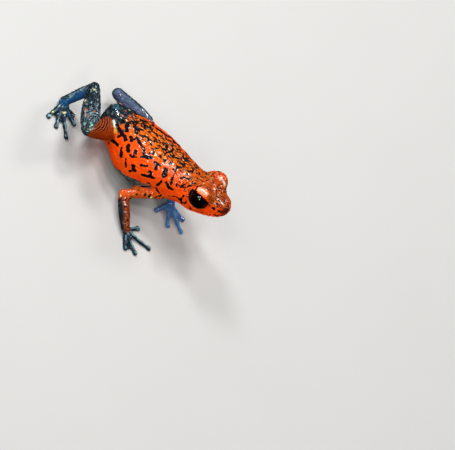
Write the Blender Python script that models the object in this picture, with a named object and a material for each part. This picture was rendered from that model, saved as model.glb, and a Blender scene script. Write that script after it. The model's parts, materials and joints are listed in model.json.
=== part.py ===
# Strawberry poison dart frog, walking, as a life-size still model.
# Lengths below are millimetres and angles are degrees, and each mesh is made in metres.
import math

import bmesh
import bpy
import numpy as np
from mathutils import Matrix, Vector

MM = 0.001
GAP = 0.3

# Whole animal
BODY_PITCH = 18.0
VENT_HEIGHT = 2.2
HEAD_LIFT = 8.5
LIFT_START = 11.5
LIFT_END = 16.5
NECK_CUT = 14.6

# Body sections: distance along the body, half width, height above and depth below the middle,
# and how far the middle lies to the left, because the trunk bends a little as the animal steps
BODY_SECTIONS = {
    "vent": (-0.6, 0.9, 2.25, 0.2, 0.0),
    "rump": (0.5, 2.05, 3.0, 1.2, -0.1),
    "hips": (3.0, 3.25, 3.2, 2.4, -0.28),
    "loin": (5.5, 4.4, 3.2, 3.75, -0.38),
    "belly": (8.0, 4.65, 3.05, 4.1, -0.3),
    "chest": (11.0, 4.05, 2.75, 3.45, -0.05),
    "shoulders": (13.0, 3.45, 2.65, 2.85, 0.12),
    "neck": (14.6, 3.15, 2.65, 2.4, 0.2),
    "jaw": (16.0, 3.15, 2.55, 2.0, 0.2),
    "eyes": (17.5, 3.0, 2.3, 1.6, 0.2),
    "muzzle": (19.1, 2.4, 1.85, 1.08, 0.2),
    "nostrils": (20.3, 1.7, 1.5, 0.7, 0.2),
    "lip": (20.85, 1.15, 1.1, 0.5, 0.2),
    "snout": (21.15, 0.45, 0.55, 0.25, 0.2),
}
BODY_ROUNDNESS = 2.15

# Head details, placed by distance from the vent, side and height
EYE_PLACE = (17.35, 2.35, 1.4)
EYE_RADIUS = 1.45
SOCKET_GAP = 0.12
LID_RADIUS = 1.76
LID_OPENING = (1.42, 1.3)
EYE_AIM = (0.2, 1.0, 0.12)
NOSTRIL_PLACE = (20.4, 1.44, 0.62)
NOSTRIL_RADIUS = 0.17
EARDRUM_PLACE = (15.9, 3.12, -0.1)
EARDRUM_RADIUS = 0.45
EARDRUM_GROOVE = 0.07
EARDRUM_AIM = (0.1, 1.0, 0.0)
MOUTH_CORNER = (16.0, -0.92)
MOUTH_FRONT = (21.04, -0.05)
MOUTH_DEPTH = 0.22
MOUTH_HEIGHT = 0.12
MOUTH_BACK_SHARE = 0.4
MOUTH_REACH_OUT = 0.5
MOUTH_STEPS = 9
MOUTH_CURVE = 0.8
MOUTH_CROWDING = 1.6
MUZZLE_MIDDLE = 17.0
LIP_RADIUS = 0.16
LIP_APART = 0.17
LIP_SINK = 0.1

# Joints of the limbs on the floor's own axes: x forward, y left, z up from the floor
RIGHT_SHOULDER = (12.9, -2.5, -1.3)
LEFT_SHOULDER = (12.9, 2.5, -1.3)
RIGHT_HIP = (1.8, -1.6, 0.35)
LEFT_HIP = (1.8, 1.6, 0.1)
RIGHT_JOINTS = {
    "elbow": (9.4, -5.8, 1.75),
    "wrist": (13.3, -8.4, 0.8),
    "knee": (-0.75, -8.45, 6.2),
    "heel": (-4.45, -1.7, 5.1),
    "ankle": (-5.3, -3.6, 0.85),
}
LEFT_JOINTS = {
    "elbow": (11.0, 5.5, 2.2),
    "wrist": (14.6, 1.7, 0.9),
    "knee": (5.25, 5.85, 1.9),
    "heel": (-1.6, 4.25, 2.45),
    "ankle": (1.5, 7.1, 0.8),
}

# Limb thickness: radii at even steps from the root to the far joint
UPPER_ARM_RADII = (0.9, 0.85, 0.68, 0.66, 0.66)
FOREARM_RADII = (0.62, 0.8, 0.8, 0.72, 0.6)
THIGH_RADII = (1.25, 1.42, 1.42, 1.3, 1.1)
SHANK_RADII = (1.12, 1.36, 1.32, 1.08, 0.85)
TARSUS_RADII = (0.75, 0.82, 0.78, 0.72, 0.7)

# Digits: heading from straight ahead and length from the wrist or ankle to the tip
RIGHT_FINGERS = {
    "first": (66.0, 3.1),
    "second": (26.0, 4.9),
    "third": (-11.0, 3.8),
    "fourth": (-38.0, 2.9),
}
LEFT_FINGERS = {
    "first": (-100.0, 2.7),
    "second": (-48.0, 3.5),
    "third": (-14.0, 4.4),
    "fourth": (14.0, 3.2),
}
RIGHT_TOES = {
    "first": (14.0, 2.6),
    "second": (-6.0, 3.6),
    "third": (-37.0, 5.3),
    "fourth": (-59.0, 4.2),
    "fifth": (-85.0, 3.7),
}
LEFT_TOES = {
    "first": (-54.0, 2.7),
    "second": (-30.0, 3.7),
    "third": (-9.0, 4.9),
    "fourth": (9.0, 5.6),
    "fifth": (27.0, 4.0),
}
DIGIT_RADIUS = 0.26
DISC_HALF_WIDTH = 0.42
DISC_HALF_HEIGHT = 0.22
DISC_LENGTH = 0.75
DISC_SWELL = 2.2
DIGIT_HEIGHT = 0.17
DIGIT_ARCH = 0.6
KNUCKLE_SHARE = 0.42
PALM_HALF_WIDTH = 0.75
PALM_HALF_HEIGHT = 0.42
SOLE_HALF_WIDTH = 0.7
PALM_STEPS = (0.0, 0.3, 0.6, 0.85, 1.0)
PALM_WIDTH_SHARES = (0.8, 0.85, 1.0, 1.0, 0.85)
PALM_HEIGHT_SHARES = (1.3, 1.24, 1.1, 1.0, 0.86)
PALM_SIDES = 12

# Mesh fineness
BODY_SIDES = 36
BODY_RINGS = 38
LIMB_SIDES = 14
LIMB_RINGS = 7
DIGIT_SIDES = 8
DIGIT_SHAFT_RINGS = 4
DISC_RING_SHARES = (0.35, 0.65, 0.85)
STATION_MARGIN = 0.1
SPINE_STEPS = 24
LIP_SIDES = 8
SOCKET_SEGMENTS = (28, 18)
EYE_SEGMENTS = (22, 14)
NOSTRIL_SEGMENTS = (10, 8)
OPENING_SIDES = 24
OPENING_DEPTH = 3.0
OPENING_PLACE = 2.0
GROOVE_SEGMENTS = (18, 6)
SHARP_ANGLE = 40.0
FLOOR_BLOCK = 60.0
NEAR_UPRIGHT = 0.2
LOOK_AHEAD = 0.01
END_ROUNDING = (math.radians(62.0), math.radians(32.0))

SKIN_RED = (0.80, 0.09, 0.01)
THIGH_RED = (0.55, 0.08, 0.015)
ARM_BLACK = (0.08, 0.05, 0.04)
SHANK_BLUE_BLACK = (0.03, 0.045, 0.06)
TARSUS_BLUE = (0.02, 0.06, 0.13)
DIGIT_BLUE = (0.05, 0.11, 0.15)
EYE_BLACK = (0.004, 0.004, 0.005)


def clear_scene():
    for item in list(bpy.data.objects):
        bpy.data.objects.remove(item, do_unlink=True)
    for group in list(bpy.data.collections):
        bpy.data.collections.remove(group)


def make_collection(name):
    group = bpy.data.collections.new(name)
    bpy.context.scene.collection.children.link(group)
    return group


def make_material(name, colour, roughness):
    material = bpy.data.materials.new(name)
    material.use_nodes = True
    shader = material.node_tree.nodes["Principled BSDF"]
    shader.inputs["Base Color"].default_value = (*colour, 1.0)
    shader.inputs["Roughness"].default_value = roughness
    shader.inputs["Metallic"].default_value = 0.0
    return material


def smooth_step(value):
    value = min(max(value, 0.0), 1.0)
    return value * value * (3.0 - 2.0 * value)


def slopes(stations, values):
    # Slopes of a curve through the values that never overshoots them
    steps = np.diff(stations)
    rises = np.diff(values) / steps
    result = np.zeros(len(stations))
    result[0] = rises[0]
    result[-1] = rises[-1]
    for index in range(1, len(stations) - 1):
        before = rises[index - 1]
        after = rises[index]
        if before * after > 0.0:
            result[index] = 2.0 * before * after / (before + after)
    return result


def read_profile(stations, values, place):
    # One value read from the curve through the sections
    tangents = slopes(stations, values)
    index = int(np.clip(np.searchsorted(stations, place) - 1, 0, len(stations) - 2))
    span = stations[index + 1] - stations[index]
    part = (place - stations[index]) / span
    square = part * part
    cube = square * part
    return (
        (2.0 * cube - 3.0 * square + 1.0) * values[index]
        + (cube - 2.0 * square + part) * span * tangents[index]
        + (3.0 * square - 2.0 * cube) * values[index + 1]
        + (cube - square) * span * tangents[index + 1]
    )


SECTION_TABLE = np.array(list(BODY_SECTIONS.values()))


def body_size(distance):
    # Half width, height above and depth below the middle at a distance from the vent
    return [read_profile(SECTION_TABLE[:, 0], SECTION_TABLE[:, column], distance) for column in (1, 2, 3)]


def body_bend(distance):
    # How far the middle of the body lies to the left
    return read_profile(SECTION_TABLE[:, 0], SECTION_TABLE[:, 4], distance)


def head_tilt(distance):
    return math.radians(HEAD_LIFT) * smooth_step((distance - LIFT_START) / (LIFT_END - LIFT_START))


def spine_point(distance):
    # Middle of the body, straight along the trunk and lifting through the neck
    forward = min(distance, LIFT_START)
    height = 0.0
    reach = (distance - forward) / SPINE_STEPS
    middle = forward + 0.5 * reach
    for step in range(SPINE_STEPS):
        tilt = head_tilt(middle + step * reach)
        forward += math.cos(tilt) * reach
        height += math.sin(tilt) * reach
    return forward, height


def stand(forward, side, height):
    # From the trunk's own axes to the floor's axes
    pitch = math.radians(BODY_PITCH)
    return Vector((
        forward * math.cos(pitch) - height * math.sin(pitch),
        side,
        forward * math.sin(pitch) + height * math.cos(pitch) + VENT_HEIGHT,
    ))


def on_body(distance, side, height):
    # A point beside and above the middle of the body, on the floor's axes
    forward, lift = spine_point(distance)
    tilt = head_tilt(distance)
    across = side + body_bend(distance)
    return stand(forward - height * math.sin(tilt), across, lift + height * math.cos(tilt))


def body_direction(distance, direction):
    start = on_body(distance, 0.0, 0.0)
    ahead = on_body(distance + LOOK_AHEAD, 0.0, 0.0) - start
    ahead.normalize()
    left = Vector((0.0, 1.0, 0.0))
    up = ahead.cross(left)
    return (ahead * direction[0] + left * direction[1] + up * direction[2]).normalized()


def loft(name, rings, collection):
    # Rings of equal count joined side by side, with a fan over each end
    mesh = bpy.data.meshes.new(name)
    shape = bmesh.new()
    loops = []
    for ring in rings:
        loops.append([shape.verts.new(Vector(point) * MM) for point in ring])
    sides = len(loops[0])
    for near, far in zip(loops, loops[1:]):
        for side in range(sides):
            after = (side + 1) % sides
            shape.faces.new((near[side], near[after], far[after], far[side]))
    for loop in (loops[0], loops[-1]):
        middle = sum((vert.co for vert in loop), Vector()) / sides
        pole = shape.verts.new(middle)
        for side in range(sides):
            shape.faces.new((loop[side], loop[(side + 1) % sides], pole))
    bmesh.ops.recalc_face_normals(shape, faces=shape.faces)
    shape.to_mesh(mesh)
    shape.free()
    item = bpy.data.objects.new(name, mesh)
    collection.objects.link(item)
    return item


def body_ring(distance, grow):
    half_width, above, below = body_size(distance)
    power = 2.0 / BODY_ROUNDNESS
    ring = []
    for side in range(BODY_SIDES):
        angle = 2.0 * math.pi * side / BODY_SIDES
        across = math.copysign(abs(math.cos(angle)) ** power, math.cos(angle))
        upward = math.copysign(abs(math.sin(angle)) ** power, math.sin(angle))
        reach = above if upward > 0.0 else below
        ring.append(on_body(distance, (half_width + grow) * across, (reach + grow) * upward))
    return ring


def body_stations(start, end):
    # Even steps, drawn closer together toward the vent and the snout
    whole = SECTION_TABLE[-1, 0]
    first = SECTION_TABLE[0, 0]
    shares = [0.5 - 0.5 * math.cos(math.pi * step / BODY_RINGS) for step in range(BODY_RINGS + 1)]
    marks = [first + (whole - first) * share for share in shares]
    inner = [mark for mark in marks if start + STATION_MARGIN < mark < end - STATION_MARGIN]
    return [start] + inner + [end]


def make_trunk(name, collection, grow=0.0):
    end = NECK_CUT - 0.5 * GAP + grow
    start = SECTION_TABLE[0, 0]
    return loft(name, [body_ring(mark, grow) for mark in body_stations(start, end)], collection)


def make_skull(name, collection):
    start = NECK_CUT + 0.5 * GAP
    end = SECTION_TABLE[-1, 0]
    return loft(name, [body_ring(mark, 0.0) for mark in body_stations(start, end)], collection)


def tube_rings(path, across_radii, upright_radii, sides):
    # Rings square to a path, closed by two smaller rings at each rounded end
    points = [Vector(point) for point in path]
    rings = []
    last = len(points) - 1

    def ring_at(centre, ahead, across_radius, upright_radius):
        across = ahead.cross(Vector((0.0, 0.0, 1.0)))
        if across.length < NEAR_UPRIGHT:
            across = ahead.cross(Vector((1.0, 0.0, 0.0)))
        across.normalize()
        upright = across.cross(ahead).normalized()
        ring = []
        for side in range(sides):
            angle = 2.0 * math.pi * side / sides
            shift = across * (across_radius * math.cos(angle)) + upright * (upright_radius * math.sin(angle))
            ring.append(centre + shift)
        return ring

    for index, point in enumerate(points):
        ahead = (points[min(index + 1, last)] - points[max(index - 1, 0)]).normalized()
        wide = across_radii[index]
        tall = upright_radii[index]
        if index == 0:
            for angle in END_ROUNDING:
                centre = point - ahead * (min(wide, tall) * math.sin(angle))
                rings.append(ring_at(centre, ahead, wide * math.cos(angle), tall * math.cos(angle)))
        rings.append(ring_at(point, ahead, wide, tall))
        if index == last:
            for angle in reversed(END_ROUNDING):
                centre = point + ahead * (min(wide, tall) * math.sin(angle))
                rings.append(ring_at(centre, ahead, wide * math.cos(angle), tall * math.cos(angle)))
    return rings


def limb_solid(name, start, end, radii, collection, grow=0.0):
    # A round limb between two joints, thickest where its muscle lies
    start = Vector(start)
    end = Vector(end)
    marks = np.linspace(0.0, 1.0, len(radii))
    path = []
    thick = []
    for step in range(LIMB_RINGS):
        share = step / (LIMB_RINGS - 1)
        path.append(start.lerp(end, share))
        thick.append(read_profile(marks, np.array(radii), share) + grow)
    return loft(name, tube_rings(path, thick, thick, LIMB_SIDES), collection)


def digit_solid(name, root, heading, length, collection):
    # A digit from inside the palm to its disc, which lies flat on the floor
    direction = Vector((math.cos(math.radians(heading)), math.sin(math.radians(heading)), 0.0))
    base = Vector((root[0], root[1], 0.0))
    disc_start = 1.0 - DISC_LENGTH / length
    path = []
    wide = []
    tall = []
    steps = [step * disc_start / (DIGIT_SHAFT_RINGS - 1) for step in range(DIGIT_SHAFT_RINGS)]
    steps += [disc_start + (1.0 - disc_start) * share for share in DISC_RING_SHARES]
    for share in steps:
        rise = (root[2] - DIGIT_HEIGHT) * (1.0 - smooth_step(share / (2.0 * KNUCKLE_SHARE)))
        path.append(base + direction * (length * share) + Vector((0.0, 0.0, DIGIT_HEIGHT + DIGIT_ARCH * rise)))
        swell = smooth_step((share - disc_start) / (1.0 - disc_start) * DISC_SWELL)
        wide.append(DIGIT_RADIUS + (DISC_HALF_WIDTH - DIGIT_RADIUS) * swell)
        tall.append(DIGIT_RADIUS + (DISC_HALF_HEIGHT - DIGIT_RADIUS) * swell)
    return loft(name, tube_rings(path, wide, tall, DIGIT_SIDES), collection)


def palm_solid(name, root, digits, half_width, collection):
    # The flat of a hand or foot, from its joint to the knuckles of its digits
    base = Vector(root)
    knuckles = Vector()
    for heading, length in digits.values():
        reach = KNUCKLE_SHARE * length
        knuckles += Vector((reach * math.cos(math.radians(heading)), reach * math.sin(math.radians(heading)), 0.0))
    knuckles /= len(digits)
    end = Vector((base.x, base.y, PALM_HALF_HEIGHT)) + knuckles
    path = [base.lerp(end, share) for share in PALM_STEPS]
    wide = [half_width * share for share in PALM_WIDTH_SHARES]
    tall = [PALM_HALF_HEIGHT * share for share in PALM_HEIGHT_SHARES]
    return loft(name, tube_rings(path, wide, tall, PALM_SIDES), collection)


def ball(name, radius, segments, collection):
    mesh = bpy.data.meshes.new(name)
    shape = bmesh.new()
    bmesh.ops.create_uvsphere(shape, u_segments=segments[0], v_segments=segments[1], radius=radius * MM)
    shape.to_mesh(mesh)
    shape.free()
    item = bpy.data.objects.new(name, mesh)
    collection.objects.link(item)
    return item


def turn_to(item, centre, direction, upward=(0.0, 0.0, 1.0)):
    # Place an object and turn its own Z toward a direction, baking both into the mesh
    forward = Vector(direction).normalized()
    side = Vector(upward).cross(forward).normalized()
    upright = forward.cross(side)
    turn = Matrix((side, upright, forward)).transposed().to_4x4()
    item.data.transform(Matrix.Translation(Vector(centre) * MM) @ turn)
    return item


def cylinder(name, radius, depth, sides, collection):
    mesh = bpy.data.meshes.new(name)
    shape = bmesh.new()
    bmesh.ops.create_cone(
        shape, cap_ends=True, segments=sides, radius1=radius * MM, radius2=radius * MM, depth=depth * MM
    )
    shape.to_mesh(mesh)
    shape.free()
    item = bpy.data.objects.new(name, mesh)
    collection.objects.link(item)
    return item


def ring_groove(name, radius, thickness, collection):
    bpy.ops.mesh.primitive_torus_add(
        major_segments=GROOVE_SEGMENTS[0],
        minor_segments=GROOVE_SEGMENTS[1],
        major_radius=radius * MM,
        minor_radius=thickness * MM,
    )
    item = bpy.context.active_object
    item.name = name
    item.data.name = name
    for group in list(item.users_collection):
        group.objects.unlink(item)
    collection.objects.link(item)
    return item


def floor_block(name, collection):
    mesh = bpy.data.meshes.new(name)
    shape = bmesh.new()
    bmesh.ops.create_cube(shape, size=FLOOR_BLOCK * MM)
    shape.to_mesh(mesh)
    shape.free()
    item = bpy.data.objects.new(name, mesh)
    item.data.transform(Matrix.Translation(Vector((0.0, 0.0, -0.5 * FLOOR_BLOCK)) * MM))
    collection.objects.link(item)
    return item


def keep_largest(item):
    # Keep only the largest closed surface of a mesh
    shape = bmesh.new()
    shape.from_mesh(item.data)
    shape.verts.ensure_lookup_table()
    unseen = set(shape.verts)
    groups = []
    while unseen:
        stack = [unseen.pop()]
        group = set(stack)
        while stack:
            vert = stack.pop()
            for edge in vert.link_edges:
                other = edge.other_vert(vert)
                if other in unseen:
                    unseen.remove(other)
                    group.add(other)
                    stack.append(other)
        groups.append(group)
    largest = max(groups, key=len)
    doomed = [vert for group in groups if group is not largest for vert in group]
    bmesh.ops.delete(shape, geom=doomed, context="VERTS")
    shape.to_mesh(item.data)
    shape.free()


def apply_modifiers(item):
    depsgraph = bpy.context.evaluated_depsgraph_get()
    fresh = bpy.data.meshes.new_from_object(item.evaluated_get(depsgraph))
    item.modifiers.clear()
    old = item.data
    item.data = fresh
    fresh.name = item.name
    bpy.data.meshes.remove(old)


def join_all(item, pieces):
    # One union of closed pieces, applied, after which the pieces are removed
    group = make_collection(item.name + "_pieces")
    for piece in pieces:
        for owner in list(piece.users_collection):
            owner.objects.unlink(piece)
        group.objects.link(piece)
    union = item.modifiers.new("Union", "BOOLEAN")
    union.operation = "UNION"
    union.solver = "EXACT"
    union.operand_type = "COLLECTION"
    union.collection = group
    bpy.context.view_layer.update()
    apply_modifiers(item)
    for piece in pieces:
        bpy.data.objects.remove(piece, do_unlink=True)
    bpy.data.collections.remove(group)
    keep_largest(item)


def cut_by(item, cutter):
    cut = item.modifiers.new("Cut by " + cutter.name, "BOOLEAN")
    cut.operation = "DIFFERENCE"
    cut.solver = "EXACT"
    cut.object = cutter


def hide_cutter(cutter):
    cutter.hide_render = True
    cutter.display_type = "WIRE"


def mouth_point(share, side):
    # A point on the lip line: share 0 at the corner of the mouth and 1 at its front
    distance = MOUTH_CORNER[0] + (MOUTH_FRONT[0] - MOUTH_CORNER[0]) * share
    height = MOUTH_CORNER[1] + (MOUTH_FRONT[1] - MOUTH_CORNER[1]) * share ** MOUTH_CURVE
    half_width, above, below = body_size(distance)
    depth = abs(height) / (above if height > 0.0 else below)
    across = half_width * (1.0 - depth ** BODY_ROUNDNESS) ** (1.0 / BODY_ROUNDNESS)
    return distance, side * across, height


def mouth_path(inset, lift):
    # Points round the muzzle from the right corner of the mouth to the left one
    points = []
    for step in range(-MOUTH_STEPS, MOUTH_STEPS + 1):
        share = 1.0 - (abs(step) / MOUTH_STEPS) ** MOUTH_CROWDING
        side = -1.0 if step < 0 else 1.0
        distance, across, height = mouth_point(share, side)
        inward = Vector((MUZZLE_MIDDLE - distance, -across, 0.0)).normalized() * inset
        points.append((distance + inward.x, across + inward.y, height + lift))
    return points


def mouth_cutter(collection):
    inner = mouth_path(MOUTH_DEPTH, 0.0)
    outer = mouth_path(-MOUTH_REACH_OUT, 0.0)
    half = 0.5 * MOUTH_HEIGHT
    rings = []
    for near, far in zip(inner, outer):
        rings.append([
            on_body(near[0], near[1], near[2] - MOUTH_BACK_SHARE * half),
            on_body(far[0], far[1], far[2] - half),
            on_body(far[0], far[1], far[2] + half),
            on_body(near[0], near[1], near[2] + MOUTH_BACK_SHARE * half),
        ])
    return loft("mouth_line_cutter", rings, collection)


def lip_roll(name, lift, collection):
    path = [on_body(*point) for point in mouth_path(LIP_SINK, lift)]
    radii = [LIP_RADIUS] * len(path)
    radii[0] = 0.5 * LIP_RADIUS
    radii[-1] = 0.5 * LIP_RADIUS
    return loft(name, tube_rings(path, radii, radii, LIP_SIDES), collection)


def make_head(parts, cutters):
    head = make_skull("head", parts)
    pieces = [lip_roll("upper_lip", LIP_APART, parts), lip_roll("lower_lip", -LIP_APART, parts)]
    for side in (-1.0, 1.0):
        lids = ball("lids", LID_RADIUS, SOCKET_SEGMENTS, parts)
        turn_to(lids, on_body(EYE_PLACE[0], side * EYE_PLACE[1], EYE_PLACE[2]), (0.0, side, 0.0))
        pieces.append(lids)
    join_all(head, pieces)
    for side, label in ((-1.0, "right"), (1.0, "left")):
        centre = on_body(EYE_PLACE[0], side * EYE_PLACE[1], EYE_PLACE[2])
        aim = body_direction(EYE_PLACE[0], (EYE_AIM[0], side * EYE_AIM[1], EYE_AIM[2]))
        socket = ball("socket_cutter_" + label, EYE_RADIUS + SOCKET_GAP, SOCKET_SEGMENTS, cutters)
        turn_to(socket, centre, aim)
        opening = cylinder("lid_opening_cutter_" + label, 1.0, OPENING_DEPTH, OPENING_SIDES, cutters)
        opening.data.transform(Matrix.Diagonal((LID_OPENING[0], LID_OPENING[1], 1.0, 1.0)))
        turn_to(opening, centre + aim * OPENING_PLACE, aim)
        nostril = ball("nostril_cutter_" + label, NOSTRIL_RADIUS, NOSTRIL_SEGMENTS, cutters)
        turn_to(nostril, on_body(NOSTRIL_PLACE[0], side * NOSTRIL_PLACE[1], NOSTRIL_PLACE[2]), aim)
        groove = ring_groove("eardrum_cutter_" + label, EARDRUM_RADIUS, EARDRUM_GROOVE, cutters)
        drum = on_body(EARDRUM_PLACE[0], side * EARDRUM_PLACE[1], EARDRUM_PLACE[2])
        outward = (EARDRUM_AIM[0], side * EARDRUM_AIM[1], EARDRUM_AIM[2])
        turn_to(groove, drum, body_direction(EARDRUM_PLACE[0], outward))
        for cutter in (socket, opening, nostril, groove):
            hide_cutter(cutter)
            cut_by(head, cutter)
    mouth = mouth_cutter(cutters)
    hide_cutter(mouth)
    cut_by(head, mouth)
    return head


def make_eye(label, side, parts):
    eye = ball("eye_" + label, EYE_RADIUS, EYE_SEGMENTS, parts)
    aim = body_direction(EYE_PLACE[0], (EYE_AIM[0], side * EYE_AIM[1], EYE_AIM[2]))
    turn_to(eye, on_body(EYE_PLACE[0], side * EYE_PLACE[1], EYE_PLACE[2]), aim)
    return eye


def make_extremity(name, root, digits, half_width, parts):
    item = palm_solid(name, root, digits, half_width, parts)
    pieces = []
    for label, (heading, length) in digits.items():
        pieces.append(digit_solid(name + "_" + label, root, heading, length, parts))
    join_all(item, pieces)
    return item


def make_side(label, shoulder, hip, joints, fingers, toes, parts, cutters, trunk_cutter, floor):
    # One side's limbs, each cut clear of the piece that it grows from
    shoulder_point = on_body(*shoulder)
    hip_point = on_body(*hip)
    chains = (
        ("upper_arm_", shoulder_point, joints["elbow"], UPPER_ARM_RADII),
        ("forearm_", joints["elbow"], joints["wrist"], FOREARM_RADII),
        ("thigh_", hip_point, joints["knee"], THIGH_RADII),
        ("shank_", joints["knee"], joints["heel"], SHANK_RADII),
        ("tarsus_", joints["heel"], joints["ankle"], TARSUS_RADII),
    )
    made = {}
    grown = {}
    for stem, start, end, radii in chains:
        made[stem] = limb_solid(stem + label, start, end, radii, parts)
        grown[stem] = limb_solid(stem + label + "_cutter", start, end, radii, cutters, GAP)
        hide_cutter(grown[stem])
    hand = make_extremity("hand_" + label, joints["wrist"], fingers, PALM_HALF_WIDTH, parts)
    foot = make_extremity("foot_" + label, joints["ankle"], toes, SOLE_HALF_WIDTH, parts)
    cut_by(made["upper_arm_"], trunk_cutter)
    cut_by(made["forearm_"], grown["upper_arm_"])
    cut_by(made["thigh_"], trunk_cutter)
    cut_by(made["shank_"], grown["thigh_"])
    cut_by(made["tarsus_"], grown["shank_"])
    cut_by(hand, grown["forearm_"])
    cut_by(foot, grown["tarsus_"])
    cut_by(hand, floor)
    cut_by(foot, floor)
    made["hand_"] = hand
    made["foot_"] = foot
    return made


def finish(item, material):
    # Apply the cuts, keep one surface, and shade round faces smooth
    if item.modifiers:
        bpy.context.view_layer.update()
        apply_modifiers(item)
        keep_largest(item)
    item.data.materials.clear()
    item.data.materials.append(material)
    item.data.shade_smooth()
    item.data.set_sharp_from_angle(angle=math.radians(SHARP_ANGLE))


def stand_on_origin(items, carrier):
    # Bring the middle of the model's foot print to the origin
    low = Vector((1.0, 1.0, 1.0))
    high = Vector((-1.0, -1.0, -1.0))
    for item in items:
        for vert in item.data.vertices:
            for axis in range(3):
                low[axis] = min(low[axis], vert.co[axis])
                high[axis] = max(high[axis], vert.co[axis])
        item.parent = carrier
    middle = 0.5 * (low + high)
    carrier.location = (-middle.x, -middle.y, 0.0)


def main():
    clear_scene()
    parts = make_collection("strawberry_poison_dart_frog")
    cutters = make_collection("cutters")
    red = make_material("orange_red_skin", SKIN_RED, 0.28)
    thigh_red = make_material("thigh_skin", THIGH_RED, 0.3)
    arm_black = make_material("forearm_skin", ARM_BLACK, 0.35)
    blue_black = make_material("shank_skin", SHANK_BLUE_BLACK, 0.35)
    tarsus_blue = make_material("tarsus_skin", TARSUS_BLUE, 0.3)
    digit_blue = make_material("digit_skin", DIGIT_BLUE, 0.35)
    eye_black = make_material("eye", EYE_BLACK, 0.05)

    carrier = bpy.data.objects.new("frog", None)
    parts.objects.link(carrier)
    torso = make_trunk("torso", parts)
    trunk_cutter = make_trunk("torso_cutter", cutters, GAP)
    hide_cutter(trunk_cutter)
    floor = floor_block("floor_cutter", cutters)
    hide_cutter(floor)
    head = make_head(parts, cutters)

    items = [(torso, red), (head, red)]
    for label, side in (("right", -1.0), ("left", 1.0)):
        items.append((make_eye(label, side, parts), eye_black))
    sides = (
        ("right", RIGHT_SHOULDER, RIGHT_HIP, RIGHT_JOINTS, RIGHT_FINGERS, RIGHT_TOES),
        ("left", LEFT_SHOULDER, LEFT_HIP, LEFT_JOINTS, LEFT_FINGERS, LEFT_TOES),
    )
    skins = {
        "upper_arm_": red,
        "forearm_": arm_black,
        "hand_": digit_blue,
        "thigh_": thigh_red,
        "shank_": blue_black,
        "tarsus_": tarsus_blue,
        "foot_": digit_blue,
    }
    for side in sides:
        made = make_side(*side, parts, cutters, trunk_cutter, floor)
        for stem, item in made.items():
            items.append((item, skins[stem]))
    for item, material in items:
        finish(item, material)
    stand_on_origin([item for item, material in items], carrier)


main()
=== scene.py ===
import json
import math
import random
import bpy
import bmesh
import numpy as np
from mathutils import Matrix, Vector
from mathutils.bvhtree import BVHTree

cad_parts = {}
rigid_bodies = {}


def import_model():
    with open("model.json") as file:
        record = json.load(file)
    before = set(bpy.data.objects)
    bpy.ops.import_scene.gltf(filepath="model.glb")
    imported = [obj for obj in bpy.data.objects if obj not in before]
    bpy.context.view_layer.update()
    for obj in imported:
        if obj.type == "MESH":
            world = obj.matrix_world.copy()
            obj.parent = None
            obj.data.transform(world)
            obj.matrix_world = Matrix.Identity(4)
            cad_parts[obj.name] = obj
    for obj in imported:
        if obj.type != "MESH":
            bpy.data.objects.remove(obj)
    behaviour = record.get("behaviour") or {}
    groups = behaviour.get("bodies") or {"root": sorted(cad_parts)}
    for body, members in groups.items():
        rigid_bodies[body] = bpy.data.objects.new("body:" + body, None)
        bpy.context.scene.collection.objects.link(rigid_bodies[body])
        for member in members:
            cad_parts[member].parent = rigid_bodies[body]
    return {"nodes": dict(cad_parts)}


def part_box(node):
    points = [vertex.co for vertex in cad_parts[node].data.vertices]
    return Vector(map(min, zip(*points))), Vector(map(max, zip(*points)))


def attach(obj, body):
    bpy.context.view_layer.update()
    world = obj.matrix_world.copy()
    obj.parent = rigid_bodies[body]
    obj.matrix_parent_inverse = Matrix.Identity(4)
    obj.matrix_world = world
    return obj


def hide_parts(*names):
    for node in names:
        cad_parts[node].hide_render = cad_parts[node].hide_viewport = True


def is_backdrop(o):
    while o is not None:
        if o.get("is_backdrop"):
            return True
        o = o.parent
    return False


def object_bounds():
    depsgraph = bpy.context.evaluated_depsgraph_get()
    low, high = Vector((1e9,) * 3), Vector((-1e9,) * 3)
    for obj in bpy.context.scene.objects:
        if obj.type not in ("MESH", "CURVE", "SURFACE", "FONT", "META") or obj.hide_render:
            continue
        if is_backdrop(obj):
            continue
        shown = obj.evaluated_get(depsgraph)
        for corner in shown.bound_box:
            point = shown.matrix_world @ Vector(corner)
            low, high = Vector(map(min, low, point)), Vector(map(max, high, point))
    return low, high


# A strawberry poison dart frog, walking. Lengths in the dictionaries are millimetres, angles are degrees.
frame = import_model()
nodes = frame["nodes"]
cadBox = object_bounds()
mm = 0.001
bpy.ops.object.select_all(action="DESELECT")
print("frame loaded")

# how the solids stand: a place on the body is its distance from the vent, its side and its height
bodyPlan = {
    "pitch": 18.0,
    "ventHeight": 2.2,
    "headLift": 8.5,
    "liftStart": 11.5,
    "liftEnd": 16.5,
    "toMiddle": (-6.922, 0.615, 0.0),
    "bendMarks": (-0.6, 0.5, 3.0, 5.5, 8.0, 11.0, 13.0, 14.6),
    "bend": (0.0, -0.1, -0.28, -0.38, -0.3, -0.05, 0.12, 0.2),
    "neck": 14.6,
    "eye": (17.35, 2.35, 1.4),
    "eyeAim": (0.2, 1.0, 0.12),
    "nostril": (20.4, 1.44, 0.62),
    "eardrum": (15.9, 3.12, -0.1),
    "mouthCorner": (16.0, -0.92),
    "mouthFront": (21.04, -0.05),
}
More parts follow.
